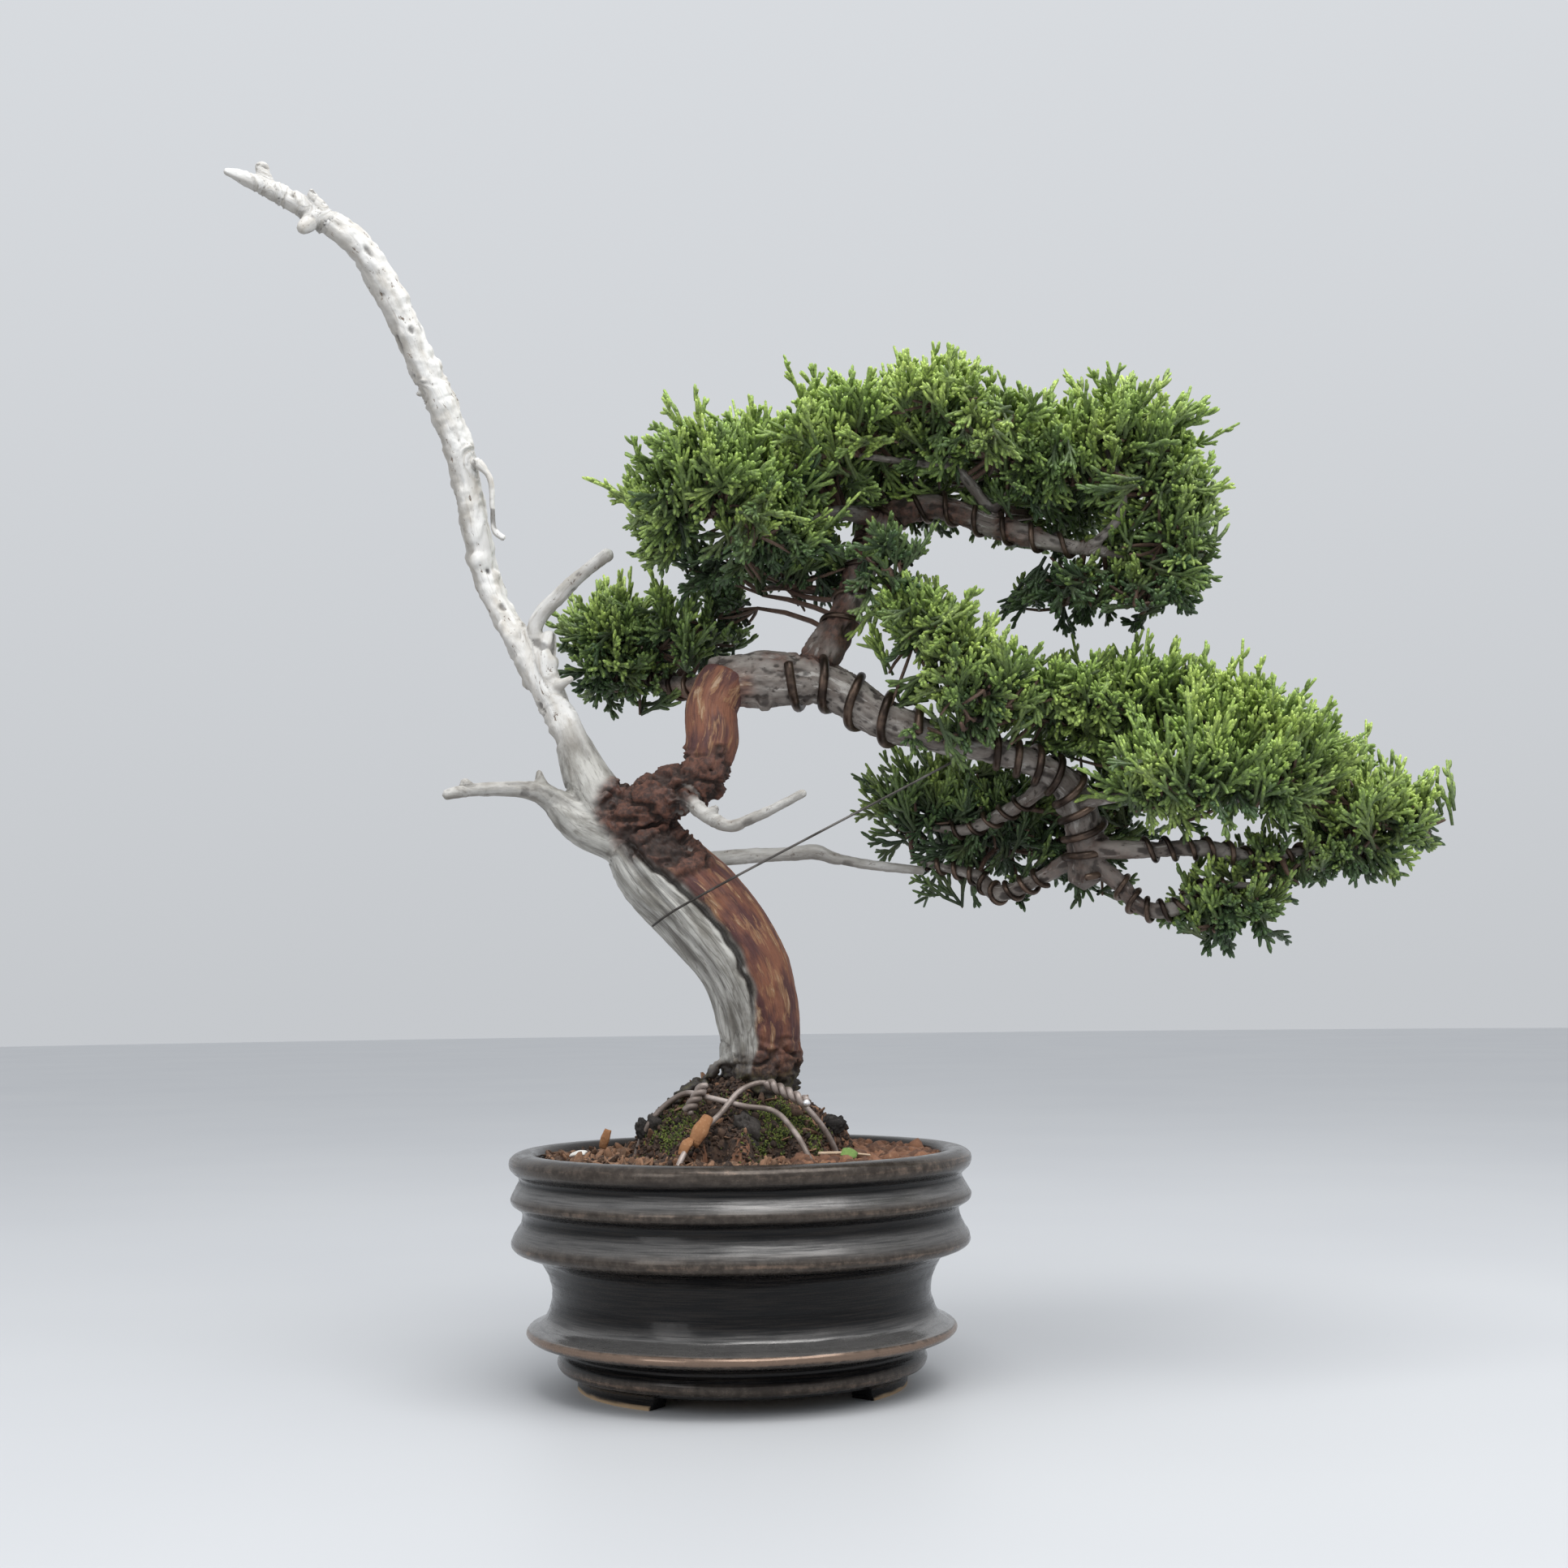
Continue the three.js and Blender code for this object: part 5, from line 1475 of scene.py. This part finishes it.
def area_light(name, place, target, size, power):
    """A rectangular light that faces its target."""
    data = bpy.data.lights.new(name, "AREA")
    data.shape = "RECTANGLE"
    data.size, data.size_y = size
    data.energy = power
    light = bpy.data.objects.new(name, data)
    light.location = place
    light.rotation_euler = (Vector(target) - Vector(place)).to_track_quat("-Z", "Y").to_euler()
    bpy.context.scene.collection.objects.link(light)


def make_studio():
    """A wide floor, two soft lights and a sky that is brighter overhead."""
    angle = even_angles(FLOOR_SIDES)
    rim = np.stack([np.cos(angle) * FLOOR_RADIUS, np.sin(angle) * FLOOR_RADIUS, 0 * angle], axis=1)
    verts = np.vstack([rim, [[0, 0, 0]]])
    faces = fan_faces(FLOOR_SIDES, 0, FLOOR_SIDES)
    floor = bpy.data.objects.new("studio_floor", new_mesh("studio_floor", verts, [faces], smooth=False))
    floor.data.materials.append(floor_material())
    bpy.context.scene.collection.objects.link(floor)
    area_light("overhead", (0.25, -0.45, 1.15), (0.03, 0, 0.2), (1.1, 0.9), 14)
    area_light("front_left", (-1.2, -1.3, 0.8), (0.0, 0, 0.2), (0.7, 0.9), 5)
    world = bpy.data.worlds.new("studio")
    bpy.context.scene.world = world
    world.use_nodes = True
    tree = world.node_tree
    background = tree.nodes["Background"]
    direction = tree.nodes.new("ShaderNodeTexCoord")
    parts = tree.nodes.new("ShaderNodeSeparateXYZ")
    tree.links.new(direction.outputs["Generated"], parts.inputs[0])
    ramp = tree.nodes.new("ShaderNodeMapRange")
    for key, value in (("From Min", 0.0), ("From Max", 0.7), ("To Min", 0.64), ("To Max", 0.86)):
        ramp.inputs[key].default_value = value
    tree.links.new(parts.outputs["Z"], ramp.inputs["Value"])
    tree.links.new(ramp.outputs["Result"], background.inputs["Strength"])
    background.inputs["Color"].default_value = (0.88, 0.91, 0.95, 1)
    bpy.context.scene.view_settings.view_transform = "Standard"


make_camera()
guy_wire()
make_studio()
wood = wood_material()
trunk_wood(wood)
branch_wood(wood)
make_wires()
make_foliage()
make_pot()
make_ground()
make_chips()
loose_bits()
drainage()
